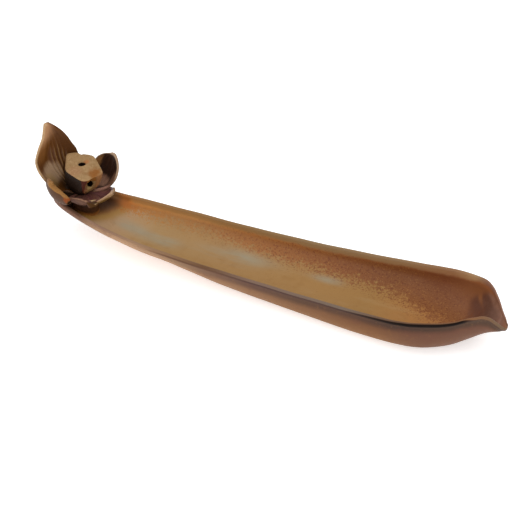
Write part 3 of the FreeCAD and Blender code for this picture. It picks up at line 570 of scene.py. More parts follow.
def holder_clay():
    k = Nodes("holder_clay")
    top, dark, ridge, olive, pink, hole = (k.attr(a) for a in ("top", "dark", "ridge", "olive", "pink", "hole"))
    warm, brow, rosy, spot, scoop = (k.attr(a) for a in ("warm", "brow", "rosy", "spot", "scoop"))
    mid = k.noise(260, 4, 0.62)
    fine = k.noise(1000, 4, 0.65)
    grain = k.noise(2600, 2, 0.6)
    colour = k.mix(k.step(mid, 0.35, 0.7), rgb(112, 74, 46), rgb(84, 54, 32))
    wob = k.mul(k.add(mid, -0.5), 0.7)
    colour = k.mix(k.step(k.add(pink, wob), 0.2, 0.8), colour, rgb(128, 86, 50))
    colour = k.mix(k.step(k.add(olive, wob), 0.2, 0.8), colour, rgb(108, 80, 48))
    # brow: painted shade under the edge of the top, beside the side hole
    colour = k.mix(k.step(k.add(brow, wob), 0.3, 0.8), colour, rgb(104, 62, 20))
    colour = k.mix(k.step(k.add(ridge, wob), 0.25, 0.75), colour, rgb(62, 20, 6))
    colour = k.mix(k.step(k.add(scoop, k.mul(wob, 0.5)), 0.25, 0.8), colour, rgb(126, 102, 62))
    colour = k.mix(k.step(k.add(dark, k.mul(wob, 0.5)), 0.3, 0.65), colour, k.mix(fine, rgb(24, 14, 9), rgb(36, 23, 15)))
    face = k.mix(k.step(mid, 0.3, 0.7), rgb(158, 126, 88), rgb(146, 114, 76))
    face = k.mix(k.mul(k.step(k.add(rosy, wob), 0.3, 0.9), 0.55), face, rgb(158, 114, 82))
    face = k.mix(k.mul(k.step(fine, 0.52, 0.70), 0.55), face, rgb(182, 152, 114))
    face = k.mix(k.mul(k.step(k.add(warm, wob), 0.15, 0.85), 0.85), face, rgb(132, 78, 26))
    face = k.mix(k.mul(k.step(k.add(spot, wob), 0.3, 0.9), 0.7), face, rgb(166, 104, 60))
    colour = k.mix(k.step(k.add(top, k.mul(wob, 0.25)), 0.4, 0.62), colour, face)
    # painted shade: the insides of the holes are painted near-black
    colour = k.mix(hole, colour, rgb(22, 9, 6))
    colour = k.mix(k.mul(k.step(grain, 0.64, 0.72), 0.35), colour, rgb(86, 52, 28))
    rough = k.add(k.lerp(mid, 0.3, 0.7, 0.46, 0.60), k.mul(top, 0.18))
    k.bump(k.add(k.mul(mid, 0.8), k.mul(fine, 0.5), k.mul(grain, 0.2)), 0.6, 0.00025)
    return k.done(colour, rough, 0.0, 0.25, 0.10)


# ------------------------------------------------------------------------ tray
half_width, midline, rim_height = pchip(RIM_HALF_WIDTH), pchip(MIDLINE), pchip(RIM_HEIGHT)
keel, hull_p, trough_p = pchip(KEEL_HEIGHT), pchip(HULL_FULLNESS), pchip(TROUGH_FULLNESS)
rim_t, floor_t = pchip(RIM_THICKNESS), pchip(FLOOR_THICKNESS)
# where the red-brown wall gives way to the tan pool, as a share of the way across
POOL_EDGE = pchip([(-120, .17), (-93, .174), (-61, .157), (-37, .165), (-13, .23), (11, .237), (40, .268),
                   (64, .305), (75, .37), (86, .42), (97, .50), (108, .70), (118, .95), (130, 1.2)])
BAND = pchip([(-134, .7), (-112, .75), (-98, .35), (-85, .12), (-62, .15), (-45, .35), (-10, .65), (40, .9), (80, 1.0),
              (118, 1.0), (126, .7), (131, .3)])


def bowl(x, c, w, top, bottom, p, n):
    th = np.linspace(0, math.pi, 241)
    cc, ss = np.cos(th), np.sin(th)
    y = c - w * np.sign(cc) * np.abs(cc) ** (2 / p)
    z = top - (top - bottom) * np.abs(ss) ** (2 / p)
    return resample(np.stack([np.full_like(y, x), y, z], 1), n)


def tray_ring(x):
    w, c, zr, t = half_width(x), midline(x), rim_height(x), rim_t(x)
    zr = zr + 0.10 * math.sin(x * 0.083 + 0.6) + 0.06 * math.sin(x * 0.21)
    w = w + 0.10 * math.sin(x * 0.061 + 2.0)
    top = zr - t * 0.5
    zk = keel(x)
    floor = min(max(zk, 0.0) + floor_t(x), top - 0.4)
    wi = max(w - t, 0.4)
    r = (w - wi) / 2
    no, ni, nr = 66, 58, 11
    outer = bowl(x, c, w, top, zk, hull_p(x), no)
    inner = bowl(x, c, wi, top, floor, trough_p(x), ni)[::-1]
    a = np.linspace(0, math.pi, nr + 2)[1:-1]
    far = np.stack([np.full(nr, x), c + wi + r + r * np.cos(a), top + r * np.sin(a)], 1)
    near = np.stack([np.full(nr, x), c - wi - r + r * np.cos(a), top + r * np.sin(a)], 1)
    quarter = r * math.pi / 2
    # the stem end closes over in one crest
    crest = floor + (top + 0.85 * r - floor) * float(smooth(x, -128.6, -131.9))
    inner[:, 2] = np.maximum(inner[:, 2], crest)
    far[a > math.pi / 2, 2] = np.maximum(far[a > math.pi / 2, 2], crest)
    near[a < math.pi / 2, 2] = np.maximum(near[a < math.pi / 2, 2], crest)

    def run(p):
        return np.concatenate([[0], np.cumsum(np.linalg.norm(np.diff(p, axis=0), axis=1))])
    so, si = run(outer), run(inner)
    arc = np.abs(a - math.pi / 2) * r
    drop = np.concatenate([np.minimum(so, so[-1] - so) + quarter, arc,
                           np.minimum(si, si[-1] - si) + quarter, arc])
    across = np.concatenate([1 - so / so[-1], np.zeros(nr), si / max(si[-1], 1e-6), np.ones(nr)])
    inside = np.concatenate([np.zeros(no), smooth(a, 0.35 * math.pi, 0.65 * math.pi), np.ones(ni),
                             smooth(a, 0.65 * math.pi, 0.35 * math.pi)])
    ring = np.vstack([outer, far, inner, near])
    # shallow hollow under the rim, outside only
    hollow = 0.55 * hump(drop, 4.2, 2.0) * (1 - inside) * smooth(x, -70, 10)
    hollow[no:] = 0
    ring[:, 1] -= np.sign(ring[:, 1] - c) * hollow
    return ring, drop, across, inside


ts = np.linspace(0, 1, 250)
xs = -132.4 + 262.2 * (0.5 - 0.5 * np.cos(math.pi * (0.5 * ts + 0.25 * (1 - np.cos(math.pi * ts)))))
rings, F = [], {"drop": [], "across": [], "inside": []}
for x in xs:
    ring, drop, across, inside = tray_ring(float(x))
    rings.append(ring)
    F["drop"].append(drop)
    F["across"].append(across)
    F["inside"].append(inside)
rings = np.array(rings)
F = {k: np.array(v) for k, v in F.items()}
rings, F = dome(rings, F, (-1.2, 0, 0), (0.9, 0, 0))
X = rings[..., 0]
# hand-made unevenness, then the flat the tray stands on
wave = 0.10 * vnoise(rings, 26, 3) + 0.05 * vnoise(rings, 9, 5)
rings[..., 2] += wave * smooth(rings[..., 2], 1.0, 6.0)
low = rings[..., 2]
rings[..., 2] = 0.5 * (low + np.sqrt(low * low + 0.16))
pool_edge = np.array([[POOL_EDGE(float(v)) for v in row[:1]] for row in X])
F["wall"] = F["across"] - pool_edge
F["band"] = np.repeat(np.array([[BAND(float(row[0]))] for row in X]), X.shape[1], axis=1)
F["foot"] = smooth(rings[..., 2], 0.9, 0.35) * (1 - F["inside"])
A = F["across"]
# where the milky glaze streaks and painted reflection lie on the trough floor
F["milky_glaze_and_sheen"] = np.clip(
    hump(A, 0.43, 0.09) * smooth(X, -101, -90) * smooth(X, -50, -66)
    + 0.8 * hump(A, 0.34, 0.08) * hump(X, -19, 17)
    + 0.9 * hump(A, 0.345, 0.045) * hump(X, 30, 9)
    + 0.35 * hump(A, 0.42, 0.10) * smooth(X, -60, -40) * smooth(X, 0, -20), 0, 1) * F["inside"]
around = np.hypot(X - FLOWER[0], rings[..., 1] - FLOWER[1])
# painted shadow under the flower, partly dark glaze, and its softer fringe
F["flower_shade_and_glaze"] = smooth(X + 20 * (A - 0.2), -94.5, -105.8) * F["inside"]
F["shade_fringe_and_glaze"] = smooth(X + 20 * (A - 0.2), -90.0, -96.5) * F["inside"]
F["ember"] = hump(around, 22.5, 4.0) * smooth(A, 0.21, 0.09) * F["inside"]
F["tip"] = smooth(X - 10 * A, 101.5, 105) * smooth(A + 0.0115 * (X - 109), 0.12, 0.21) * smooth(X, 131.5, 126) * F["inside"]
verts, faces, vals = skin_mesh(rings, F)
tray = put("leaf_tray_glazed", verts, faces, vals, "dish", "leaf_tray", tray_glaze())

# ---------------------------------------------------------------- holder shape
holder_r = pchip(HOLDER_PROFILE)


def corner_radius(phi, soft=11.0):
    acc = 0.0
    n = len(HOLDER_CORNERS)
    for i in range(n):
        a0, r0 = HOLDER_CORNERS[i]
        a1, r1 = HOLDER_CORNERS[(i + 1) % n]
        x0, y0 = r0 * math.cos(math.radians(a0)), r0 * math.sin(math.radians(a0))
        x1, y1 = r1 * math.cos(math.radians(a1)), r1 * math.sin(math.radians(a1))
        nx, ny = (y1 - y0), -(x1 - x0)
        q = math.hypot(nx, ny)
        nx, ny = nx / q, ny / q
        d = nx * x0 + ny * y0
        if d < 0:
            nx, ny, d = -nx, -ny, -d
        c = (nx * np.cos(phi) + ny * np.sin(phi)) / d
        acc = acc + np.where(c > 0, np.abs(c) ** soft, 0.0)
    return acc ** (-1.0 / soft)


def holder_ring(k, n, soft=11.0):
    phi = np.linspace(0, 2 * math.pi, n, endpoint=False)
    r = corner_radius(phi, soft) * holder_r(k)
    turn = np.abs((np.degrees(phi) - 122.4 + 180) % 360 - 180)
    r = r * (1 - 0.10 * hump(turn, 0, 7.5) * float(smooth(k, 0.55, 0.95)))
    turn = np.abs((np.degrees(phi) + 29 + 180) % 360 - 180)
    r = r * (1 - 0.065 * hump(turn, 0, 11.0) * float(smooth(k, 0.60, 1.0)))
    x, y = r * np.cos(phi), r * np.sin(phi)
    z = HOLDER_FOOT + (HOLDER_HEAD - HOLDER_FOOT) * k
    z = z + HOLDER_TILT * (-.415 * x + .91 * y) * max(0.0, (k - .3) / .7) ** 1.5
    return np.stack([HOLDER_X + HOLDER_LEAN[0] * (1 - k) + x, HOLDER_Y + HOLDER_LEAN[1] * (1 - k) + y, z], 1)


# widest outline that passes each height as the holder is lifted
ROOM_K = np.linspace(0, 0.89, 60)
ROOM_A = np.linspace(-math.pi, math.pi, 361)
room, widest = [], np.zeros(361)
for kk in ROOM_K:
    ring = holder_ring(float(kk), 720, 13.0) - FLOWER
    ang = np.arctan2(ring[:, 1], ring[:, 0])
    rad = np.hypot(ring[:, 0], ring[:, 1])
    o = np.argsort(ang)
    widest = np.maximum(widest, np.interp(ROOM_A, ang[o], rad[o], period=2 * math.pi))
    room.append(widest.copy())
room = np.array(room)[:, :360]
room = np.max([np.roll(room, d, axis=1) for d in range(-4, 5)], axis=0)
room = np.concatenate([room, room[:, :1]], 1)


def room_radius(phi, z):
    k = np.clip((z - HOLDER_FOOT) / (HOLDER_HEAD - HOLDER_FOOT) / 0.89 * 59, 0, 59)
    a = (phi + math.pi) / (2 * math.pi) * 360
    i, j = np.floor(k).astype(int), np.floor(a).astype(int) % 360
    i2 = np.minimum(i + 1, 59)
    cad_, fa = k - i, a - np.floor(a)
    return ((room[i, j] * (1 - fa) + room[i, j + 1] * fa) * (1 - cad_)
            + (room[i2, j] * (1 - fa) + room[i2, j + 1] * fa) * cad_)


def clear_holder(p, gap):
    """moves points out of the space that the holder is lifted through"""
    q = p - FLOWER
    r, phi = np.hypot(q[..., 0], q[..., 1]), np.arctan2(q[..., 1], q[..., 0])
    z = q[..., 2]
    foot = room_radius(phi, np.full_like(z, HOLDER_FOOT)) + 0.6
    under = r < foot
    z = np.where(under, np.minimum(z, HOLDER_FOOT - 0.35), z)
    low = np.full_like(z, HOLDER_FOOT - 0.35)
    for level in np.linspace(HOLDER_FOOT, HOLDER_FOOT + 9, 46):
        low = np.where(room_radius(phi, np.full_like(z, level)) + gap <= r, level, low)
    down = np.clip((foot + 4.5 - r) / 4.5, 0, 1)
    z = np.where(~under, z - np.maximum(z - low, 0) * down, z)
    limit = room_radius(phi, z) + gap
    r2 = np.where(~under & (z > HOLDER_FOOT - 0.35), np.maximum(r, limit), r)
    return np.stack([FLOWER[0] + r2 * np.cos(phi), FLOWER[1] + r2 * np.sin(phi), z], -1)


# ---------------------------------------------------------------------- petals
def spline(pts):
    pts = np.asarray(pts, float)
    n = len(pts)
    s = np.concatenate([[0], np.cumsum(np.linalg.norm(np.diff(pts, axis=0), axis=1))])
    s /= s[-1]
    h = np.diff(s)
    A = np.eye(n)
    B = np.zeros((n, 3))
    for i in range(1, n - 1):
        A[i, i - 1], A[i, i], A[i, i + 1] = h[i - 1], 2 * (h[i - 1] + h[i]), h[i]
        B[i] = 6 * ((pts[i + 1] - pts[i]) / h[i] - (pts[i] - pts[i - 1]) / h[i - 1])
    M = np.linalg.solve(A, B)

    def f(t):
        i = min(max(int(np.searchsorted(s, t, side="right")) - 1, 0), n - 2)
        u = t - s[i]
        b = (pts[i + 1] - pts[i]) / h[i] - h[i] * (2 * M[i] + M[i + 1]) / 6
        p = pts[i] + u * (b + u * (M[i] / 2 + u * (M[i + 1] - M[i]) / (6 * h[i])))
        q = b + u * (M[i] + u * (M[i + 1] - M[i]) / (2 * h[i]))
        return p, q
    return f


def petal_mesh(name, P, veins=None, lip=None, seed=1):
    a, fa, rl = math.radians(P["az"]), math.radians(P["face"]), math.radians(P["roll"])
    er, et = np.array([math.cos(a), math.sin(a), 0]), np.array([-math.sin(a), math.cos(a), 0])
    lat0 = np.array([-math.sin(fa) * math.cos(rl), math.cos(fa) * math.cos(rl), math.sin(rl)])
    pts = [FLOWER + er * r + et * P["side"] + np.array([0, 0, z]) for r, z in P["spine"]]
    sp = spline(pts)
    length = sum(np.linalg.norm(pts[i + 1] - pts[i]) for i in range(len(pts) - 1))
    bl, br, cu, th = pchip(P["bl"]), pchip(P["br"]), pchip(P["cup"]), pchip(P["th"])
    u = np.linspace(0, 1, 120)
    ss = 0.996 * (1 - (1 - u) ** 1.7)
    tt = np.sin(math.pi / 2 * np.linspace(-1, 1, 101))
    inn, out, F = [], [], {"s": [], "t": [], "edge": [], "inside": [], "vein": []}
    for s in ss:
        c, d = sp(float(s))
        T = unit(d)
        l = unit(lat0 - T * np.dot(lat0, T))
        n = unit(np.cross(l, T))
        if np.dot(n, np.array([FLOWER[0] - c[0], FLOWER[1] - c[1], 20.0])) < 0:
            n = -n
        b = np.where(tt < 0, br(float(s)), bl(float(s)))
        al = cu(float(s))
        R = b / al
        ang = al * np.abs(tt)
        q = np.sign(tt) * R * np.sin(ang)
        lift = R * (1 - np.cos(ang))
        mid = c + q[:, None] * l + lift[:, None] * n
        nn = np.cos(ang)[:, None] * n - (np.sign(tt) * np.sin(ang))[:, None] * l
        nn /= np.linalg.norm(nn, axis=1)[:, None]
        e = np.sqrt(np.maximum(0, 1 - np.abs(tt) ** 8))
        half = th(float(s)) * (1 - 0.35 * np.abs(tt) ** 2.5) * 0.5 * e
        v = np.zeros_like(tt)
        if veins is not None:
            for t0, amp, s0, s1, wid in veins:
                line = t0 * (0.55 + 0.75 * s)
                v += amp * hump(tt, line, wid) * smooth(s, s0 - 0.1, s0 + 0.06) * smooth(s, s1, s1 - 0.25)
        if lip is not None:
            mid = mid + lip(float(s), tt)[:, None] * np.array([0, 0, 1.0])
        inn.append(mid + (half + v * e)[:, None] * nn)
        out.append(mid - half[:, None] * nn)
        side = (1 - np.abs(tt)) * b
        F["s"].append(np.full_like(tt, s))
        F["t"].append(tt)
        F["edge"].append(np.minimum(side, (1 - s) * length))
        F["vein"].append(np.abs(v) / 0.5)
    inn, out = np.array(inn), np.array(out)
    inn += 0.12 * vnoise(inn, 5.5, seed)[..., None] * np.array([0.4, 0.4, 0.8])
    out += 0.12 * vnoise(out, 5.5, seed + 1)[..., None] * np.array([0.4, 0.4, 0.8])
    inn = clear_holder(inn, 0.5)
    out = clear_holder(out, 1.5)
    ring = np.concatenate([inn, out[:, -2:0:-1]], 1)
    G = {}
    for key in ("s", "t", "edge"):
        f = np.array(F[key])
        G[key] = np.concatenate([f, f[:, -2:0:-1]], 1)
    vein = np.array(F["vein"])
    G["vein"] = np.concatenate([vein, 0 * vein[:, -2:0:-1]], 1)
    flag = np.ones_like(vein)
    flag[:, 0] = flag[:, -1] = 0.5
    G["inside"] = np.concatenate([flag, 0 * vein[:, -2:0:-1]], 1)
    tipdir = unit(sp(0.996)[1]) * 0.7
    ring, G = dome(ring, G, None, tipdir)
    return skin_mesh(ring, G)


BROWN, DEEP = rgb(99, 59, 21), rgb(73, 38, 6)
MAUVE, MAUVE_DEEP = rgb(108, 66, 62), rgb(86, 49, 46)
LOOKS = {
    "back_petal": dict(base=BROWN, deep=DEEP, tip_c=rgb(162, 119, 84), rim_c=rgb(184, 150, 111), out_c=rgb(124, 90, 64),
                       out_low=rgb(102, 74, 56), rim_w=1.1, tip_at=0.9, tip_lean=7.0, rim_t=(-0.35, 0.25), rim_soft=0.7,
                       vein_c=rgb(138, 102, 60),
                       # the first two marks are painted sheen over the lower left, the third is painted shade over the
                       # right half
                       marks=[(0.41, 0.14, 0.36, 0.55, 0.9, rgb(154, 126, 98)),
                              (0.34, 0.10, 0.70, 0.30, 0.6, rgb(150, 119, 76)),
                              (0.62, 0.30, -0.62, 0.55, 0.85, rgb(76, 42, 11)),
                              (0.74, 0.18, 0.66, 0.34, 0.65, rgb(130, 84, 42)),
                              (0.60, 0.12, 0.10, 0.22, 0.5, rgb(88, 57, 42)),
                              (0.16, 0.16, -0.10, 0.75, 0.9, rgb(40, 25, 12))]),
    "near_left_petal": dict(base=rgb(96, 66, 44), deep=rgb(66, 44, 30), tip_c=rgb(150, 112, 76), rim_c=rgb(152, 108, 60),
                            out_c=rgb(88, 62, 45), out_low=rgb(90, 64, 50), rim_w=1.0, tip_at=1.05, rim_grow=1.1,
                            marks=[(0.25, 0.36, 0.0, 1.3, 0.95, rgb(36, 23, 14))],
                            late=[(0.68, 0.17, 0.92, 0.20, 0.95, rgb(130, 66, 30)),
                                  # the second late mark is a painted highlight on the rim's outer end, the third is
                                  # painted shade along the t = 1 edge
                                  (0.86, 0.14, -0.85, 0.30, 0.75, rgb(166, 136, 114)),
                                  (0.40, 0.20, 1.0, 0.25, 0.95, rgb(34, 22, 12))]),
    "far_right_petal": dict(base=rgb(52, 30, 19), deep=rgb(39, 22, 14), tip_c=rgb(92, 62, 46), rim_c=rgb(172, 144, 118),
                            out_c=rgb(140, 106, 78), out_low=rgb(110, 80, 58), rim_w=0.5, tip_at=1.05, rim_s=(0.5, 0.75), rim_out=0.7,
                            marks=[(0.64, 0.26, 0.84, 0.30, 0.9, rgb(142, 98, 56)),
                                   (0.36, 0.18, 0.0, 0.9, 0.95, rgb(152, 112, 90)),
                                   (0.54, 0.20, -0.84, 0.25, 0.8, rgb(114, 80, 60))],
                            late=[(0.22, 0.20, -0.97, 0.14, 0.9, rgb(166, 122, 104))]),
    "front_petal": dict(base=MAUVE, deep=MAUVE_DEEP, tip_c=rgb(110, 78, 62), rim_c=rgb(178, 143, 110),
                        out_c=rgb(104, 76, 36), out_low=rgb(48, 30, 8), rim_w=0.6, tip_at=1.05, rim_s=(0.55, 0.8), rim_out=0.5,
                        marks=[(0.50, 0.22, 0.75, 0.45, 0.7, rgb(130, 90, 72))]),
    "near_right_petal": dict(base=rgb(112, 72, 62), deep=rgb(88, 55, 47), tip_c=rgb(120, 86, 66), rim_c=rgb(140, 102, 78),
                             out_c=rgb(92, 66, 56), out_low=rgb(58, 42, 34), rim_w=0.5, tip_at=1.05, rim_s=(0.45, 0.7), rim_out=0.2,
                             late=[(0.97, 0.13, 0.78, 0.42, 0.95, rgb(80, 52, 24)),
                                   # the second late mark is a painted highlight along the top of the folded tab, the
                                   # third darkens the tab's lower end
                                   (0.84, 0.07, 0.56, 0.26, 0.95, rgb(176, 144, 104)),
                                   (0.98, 0.08, 0.80, 0.30, 0.8, rgb(70, 45, 19))]),
    "far_left_petal": dict(base=BROWN, deep=DEEP, tip_c=rgb(150, 112, 80), rim_c=rgb(156, 122, 90),
                           out_c=rgb(128, 94, 70), out_low=rgb(104, 76, 60), rim_w=1.3, tip_at=1.0),
}
VEINS = {
    "back_petal": [(-0.60, 0.36, 0.20, 0.72, 0.040), (-0.44, 0.44, 0.20, 0.80, 0.036), (-0.27, 0.52, 0.22, 0.88, 0.036),
                   (-0.10, 0.50, 0.20, 0.84, 0.038), (0.08, 0.44, 0.22, 0.86, 0.036), (0.27, 0.32, 0.20, 0.62, 0.036)],
    "far_right_petal": [(-0.3, 0.18, 0.3, 0.9, 0.07), (0.1, 0.22, 0.3, 0.95, 0.07), (0.45, 0.22, 0.3, 0.9, 0.07)],
    "far_left_petal": [(-0.3, 0.18, 0.3, 0.9, 0.07), (0.1, 0.22, 0.3, 0.95, 0.07), (0.45, 0.2, 0.3, 0.9, 0.07)],
    "front_petal": [(-0.3, 0.12, 0.4, 0.95, 0.08), (0.15, 0.14, 0.4, 0.95, 0.08)],
    "near_right_petal": [(-0.25, 0.12, 0.4, 0.95, 0.08), (0.2, 0.12, 0.4, 0.95, 0.08)],
    "near_left_petal": [(-0.3, 0.14, 0.4, 0.9, 0.08), (0.2, 0.14, 0.4, 0.9, 0.08)],
}


def turned_lip(s, t):
    """the edge curls up, and its right corner folds down over the trough"""
    curl = 0.3 * smooth(s, 0.5, 0.9) + 0.9 * smooth(t, -0.1, -0.8) * smooth(s, 0.3, 0.7)
    return curl - 2.9 * smooth(s, 0.84, 1.0) * smooth(t, 0.2, 0.45)


def low_corner(s, t):
    """the far corner lies lower than the near one"""
    return -1.6 * smooth(t, 0.3, 1.0) * smooth(s, 0.4, 0.8)


def raised_end(s, t):
    """the outer end of the edge stands higher"""
    return 1.5 * smooth(t, -0.1, -1.0) * smooth(s, 0.55, 0.9)


BENDS = {"near_right_petal": turned_lip, "front_petal": low_corner, "near_left_petal": raised_end}
for i, (name, P) in enumerate(PETALS.items()):
    verts, faces, vals = petal_mesh(name, P, VEINS.get(name), BENDS.get(name), 11 + 3 * i)
    put(name + "_glazed", verts, faces, vals, "dish", name, petal_glaze(name + "_glaze", **LOOKS[name]))

# ----------------------------------------------------------------- flower base
prof = np.array([(0.4, 10.5), (6.4, 10.5), (7.6, 13.0), (7.7, 16.0), (7.5, 19.0), (7.25, 21.6), (7.1, 23.6), (6.9, 25.2),
                 (6.6, 25.9), (6.0, 26.3), (5.0, 26.38), (0.4, 26.38)])
pr = resample(np.column_stack([prof, np.zeros(len(prof))]), 70)[:, :2]
phi = np.linspace(0, 2 * math.pi, 96, endpoint=False)
rings = np.stack([np.stack([FLOWER[0] + r * np.cos(phi), FLOWER[1] + r * np.sin(phi), np.full(96, z)], 1) for r, z in pr])


def tray_mid(x, y):
    """height of the middle of the tray's wall"""
    w, c, t = half_width(x), midline(x), rim_t(x)
    top, zk = rim_height(x) - t * 0.5, keel(x)
    floor = min(max(zk, 0.0) + floor_t(x), top - 0.4)

    def at(w, bottom, p):
        return top - (top - bottom) * max(0.0, 1 - min(abs(y - c) / w, 1.0) ** p) ** (1 / p)
    return 0.5 * (at(w, zk, hull_p(x)) + at(max(w - t, 0.4), floor, trough_p(x)))


# its lower end is bedded in the tray's wall
bed = np.array([[tray_mid(float(q[0]), float(q[1])) for q in row] for row in rings])
rise = (rings[..., 2] - 10.5) / (26.38 - 10.5)
rings[..., 2] = bed + rise * (26.38 - bed)
bulge = 1 + 0.03 * vnoise(rings, 6, 21) * smooth(26.3 - rings[..., 2], 0.1, 2.0)
rings[..., 0] = FLOWER[0] + (rings[..., 0] - FLOWER[0]) * bulge
rings[..., 1] = FLOWER[1] + (rings[..., 1] - FLOWER[1]) * bulge
verts, faces, vals = skin_mesh(rings, {"rise": rise})
put("flower_base_glazed", verts, faces, vals, "dish", "flower_base", base_glaze())


# ---------------------------------------------------------------- stick holder
def temp(name, verts, faces):
    me = bpy.data.meshes.new(name)
    me.from_pydata((np.asarray(verts)).tolist(), [], faces)
    bm = bmesh.new()
    bm.from_mesh(me)
    bmesh.ops.recalc_face_normals(bm, faces=bm.faces)
    bm.to_mesh(me)
    bm.free()
    ob = bpy.data.objects.new(name, me)
    scene.collection.objects.link(ob)
    return ob


def lathe(mouth, axis, prof, n=48):
    axis = unit(axis)
    u = unit(np.cross(axis, [0.3, 0.9, 0.1]))
    v = np.cross(axis, u)
    ph = np.linspace(0, 2 * math.pi, n, endpoint=False)
    rings = np.array([[np.asarray(mouth) + axis * h + r * (math.cos(q) * u + math.sin(q) * v) for q in ph] for r, h in prof])
    verts, faces, _ = skin_mesh(rings, {"s": np.zeros(rings.shape[:2])})
    return verts, faces


ks = 1 - (1 - np.linspace(0, 1, 70)) ** 1.3
rings = np.array([holder_ring(float(k), 180, 13.0) for k in ks])
last = rings[-1]
cx, cy = HOLDER_X, HOLDER_Y
lid = []
for q in np.linspace(0.96, 0.04, 26):
    x, y = (last[:, 0] - cx) * q, (last[:, 1] - cy) * q
    lid.append(np.stack([cx + x, cy + y, HOLDER_HEAD + HOLDER_TILT * (-.415 * x + .91 * y) + 0.5 * (1 - q * q)], 1))
rings = np.concatenate([rings, np.array(lid)], 0)
verts, faces, _ = skin_mesh(rings, {"s": np.zeros(rings.shape[:2])})
body = temp("holder_blank", verts, faces)
cut1 = temp("cut_top", *lathe(TOP_MOUTH, (0, 0, 1), [(0.2, -11), (BORE_R, -11), (BORE_R, -0.6), (1.85, 0), (2.15, 0.5), (2.7, 1.2), (3.2, 5), (0.2, 5)]))
cut2 = temp("cut_side", *lathe(SIDE_MOUTH, SIDE_AXIS, [(0.2, -7), (SIDE_R, -7), (SIDE_R, -0.9), (1.6, 0), (1.9, 0.8), (2.4, 2.0), (2.9, 6), (0.2, 6)]))
# thumbed hollow below and to the left of the side hole
left = np.array([math.sin(SIDE_AZ), -math.cos(SIDE_AZ), 0])
SCOOP = SIDE_MOUTH + 2.3 * SIDE_AXIS + 1.1 * left + np.array([0, 0, -0.9])
ball = [(max(0.05, 2.9 * math.cos(a)), 2.9 * math.sin(a)) for a in np.linspace(-1.5, 1.5, 25)]
cut3 = temp("cut_scoop", *lathe(SCOOP, SIDE_AXIS, ball))
for c in (cut1, cut2, cut3):
    m = body.modifiers.new("cut", "BOOLEAN")
    m.operation, m.solver, m.object = "DIFFERENCE", "EXACT", c
m = body.modifiers.new("even", "REMESH")
m.mode, m.voxel_size, m.adaptivity = "VOXEL", 0.2, 0.0
dg = bpy.context.evaluated_depsgraph_get()
raw = bpy.data.meshes.new_from_object(body.evaluated_get(dg))
V = np.zeros(len(raw.vertices) * 3)
raw.vertices.foreach_get("co", V)
V = V.reshape(-1, 3)
quads = [list(p.vertices) for p in raw.polygons]
edges = np.array([list(e.vertices) for e in raw.edges])
deg = np.zeros(len(V))
np.add.at(deg, edges[:, 0], 1)
np.add.at(deg, edges[:, 1], 1)
for _ in range(6):
    acc = np.zeros_like(V)
    np.add.at(acc, edges[:, 0], V[edges[:, 1]])
    np.add.at(acc, edges[:, 1], V[edges[:, 0]])
    V = V + 0.5 * (acc / deg[:, None] - V)
for o in (body, cut1, cut2, cut3):
    me = o.data
    bpy.data.objects.remove(o)
    bpy.data.meshes.remove(me)
bpy.data.meshes.remove(raw)


def axis_distance(P, mouth, axis):
    d = P - mouth
    h = d @ unit(axis)
    return np.linalg.norm(d - h[:, None] * unit(axis), axis=1), h


q = V - np.array([HOLDER_X, HOLDER_Y, 0])
face_z = HOLDER_HEAD + HOLDER_TILT * (-.415 * q[:, 0] + .91 * q[:, 1])
depth = face_z - V[:, 2]
az = np.degrees(np.arctan2(q[:, 1], q[:, 0]))
rad = np.hypot(q[:, 0], q[:, 1])
d1, h1 = axis_distance(V, TOP_MOUTH, (0, 0, 1))
d2, h2 = axis_distance(V, SIDE_MOUTH, SIDE_AXIS)
in_hole = np.maximum((d1 < 2.3) * (h1 > -11.5) * smooth(h1, 0.6, 0.0), (d2 < 1.8) * (h2 > -7.5) * smooth(h2, 0.1, -0.9))
top = smooth(depth, 1.1, 0.35)
sway = (0.24 * vnoise(V, 3.2, 31) + 0.14 * vnoise(V, 1.5, 32)) * top + 0.10 * vnoise(V, 4.5, 33)
sway -= 0.40 * top * smooth(vnoise(V, 2.6, 35), 0.45, 0.8)
sway *= (1 - in_hole) * smooth(V[:, 2], HOLDER_FOOT + 0.2, HOLDER_FOOT + 1.5)
out_dir = np.stack([q[:, 0] / np.maximum(rad, 1e-6), q[:, 1] / np.maximum(rad, 1e-6), np.zeros(len(V))], 1)
V = V + sway[:, None] * (top[:, None] * np.array([0, 0, 1.0]) + (1 - top[:, None]) * out_dir)


def sector(a0, a1, soft=8.0):
    mid, half = (a0 + a1) / 2, (a1 - a0) / 2
    d = np.abs((az - mid + 180) % 360 - 180)
    return smooth(d, half + soft, half - soft)


def near(p, size):
    return np.exp(-np.sum((V - p) ** 2, axis=1) / size)


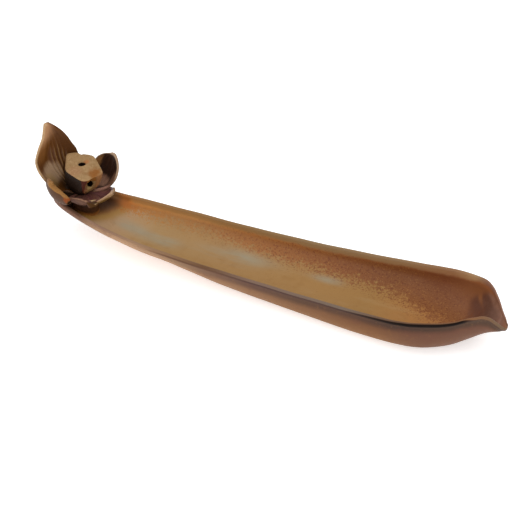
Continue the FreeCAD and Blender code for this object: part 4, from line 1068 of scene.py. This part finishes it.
vals = {
    "top": top,
    "dark": sector(-150, -62, 5) * (1 - top),
    "ridge": smooth(np.abs(az + 55 + 0.7 * np.clip(depth, 0, 9)) + 0.75 * np.clip(depth, 0, 9), 13.0, 7.0) * smooth(depth, 0.4, 1.2),
    "olive": sector(-47, -20, 6) * smooth(depth, 0.2, 1.2),
    # painted shade just under the top's edge beside the side hole
    "brow": sector(-48, -20, 6) * smooth(depth, 0.2, 0.8) * smooth(depth, 3.8, 2.6),
    "pink": smooth(az, -26, -10) * smooth(az, 105, 40),
    "warm": np.exp(-((q[:, 0] - 9.2) ** 2 + (q[:, 1] + 2.4) ** 2) / 17.0),
    "rosy": np.exp(-((q[:, 0] + 1.0) ** 2 + (q[:, 1] + 6.0) ** 2) / 26.0),
    "spot": np.exp(-((q[:, 0] - 1.0) ** 2 + (q[:, 1] - 3.7) ** 2) / 5.0),
    "scoop": np.clip(near(SIDE_MOUTH + 1.0 * SIDE_AXIS + 2.2 * left + np.array([0, 0, -0.8]), 1.5)
                     + near(SIDE_MOUTH + 0.6 * SIDE_AXIS + 0.8 * left + np.array([0, 0, -2.5]), 2.0), 0, 1),
    # inside the bores, where the painted shade goes
    "hole": np.clip(in_hole * 1.2, 0, 1),
}
put("stick_holder_clay", V, quads, vals, "holder", "stick_holder", holder_clay())

# ------------------------------------------------------------- floor and light
me = bpy.data.meshes.new("floor")
me.from_pydata([(-5, -5, -0.0001), (5, -5, -0.0001), (5, 5, -0.0001), (-5, 5, -0.0001)], [], [[0, 1, 2, 3]])
floor = bpy.data.objects.new("floor", me)
scene.collection.objects.link(floor)
k = Nodes("floor_paper")
me.materials.append(k.done(k.mix(k.noise(6, 2, 0.5), (0.90, 0.90, 0.90, 1), (0.92, 0.92, 0.92, 1)), 0.8, 0.0, spec=0.2))
k.bsdf.inputs["Emission Color"].default_value = (1, 1, 1, 1)
k.bsdf.inputs["Emission Strength"].default_value = 0.5


def area(name, at, aim, size, power, colour=(1, 1, 1)):
    d = bpy.data.lights.new(name, "AREA")
    d.shape, d.size, d.energy, d.color = "SQUARE", size, power, colour
    o = bpy.data.objects.new(name, d)
    o.location = at
    o.rotation_euler = (Vector(aim) - Vector(at)).to_track_quat("-Z", "Y").to_euler()
    scene.collection.objects.link(o)
    return o


area("key", (0.75, 0.55, 1.10), (0, 0, 0.02), 0.9, 4.0)
area("top", (-0.15, -0.05, 1.45), (0, 0, 0.02), 1.6, 6.0)
area("front", (0.20, -1.35, 0.95), (0, 0, 0.02), 1.5, 8.0)
world = bpy.data.worlds.new("studio")
scene.world = world
world.use_nodes = True
world.node_tree.nodes["Background"].inputs[0].default_value = (1, 1, 1, 1)
world.node_tree.nodes["Background"].inputs[1].default_value = 0.60
scene.view_settings.view_transform = "Standard"

# ---------------------------------------------------------------------- camera
cam = bpy.data.cameras.new("camera")
cam.lens, cam.sensor_width = 90.0, 36.0
eye = bpy.data.objects.new("camera", cam)
at = (np.array([228.748, -508.858, 446.963]) + SHIFT) * 0.001
aim = (np.array([0, -6.917, 16.0]) + SHIFT) * 0.001
eye.location = at
eye.rotation_euler = (Vector(aim) - Vector(at)).to_track_quat("-Z", "Y").to_euler()
scene.collection.objects.link(eye)
scene.camera = eye
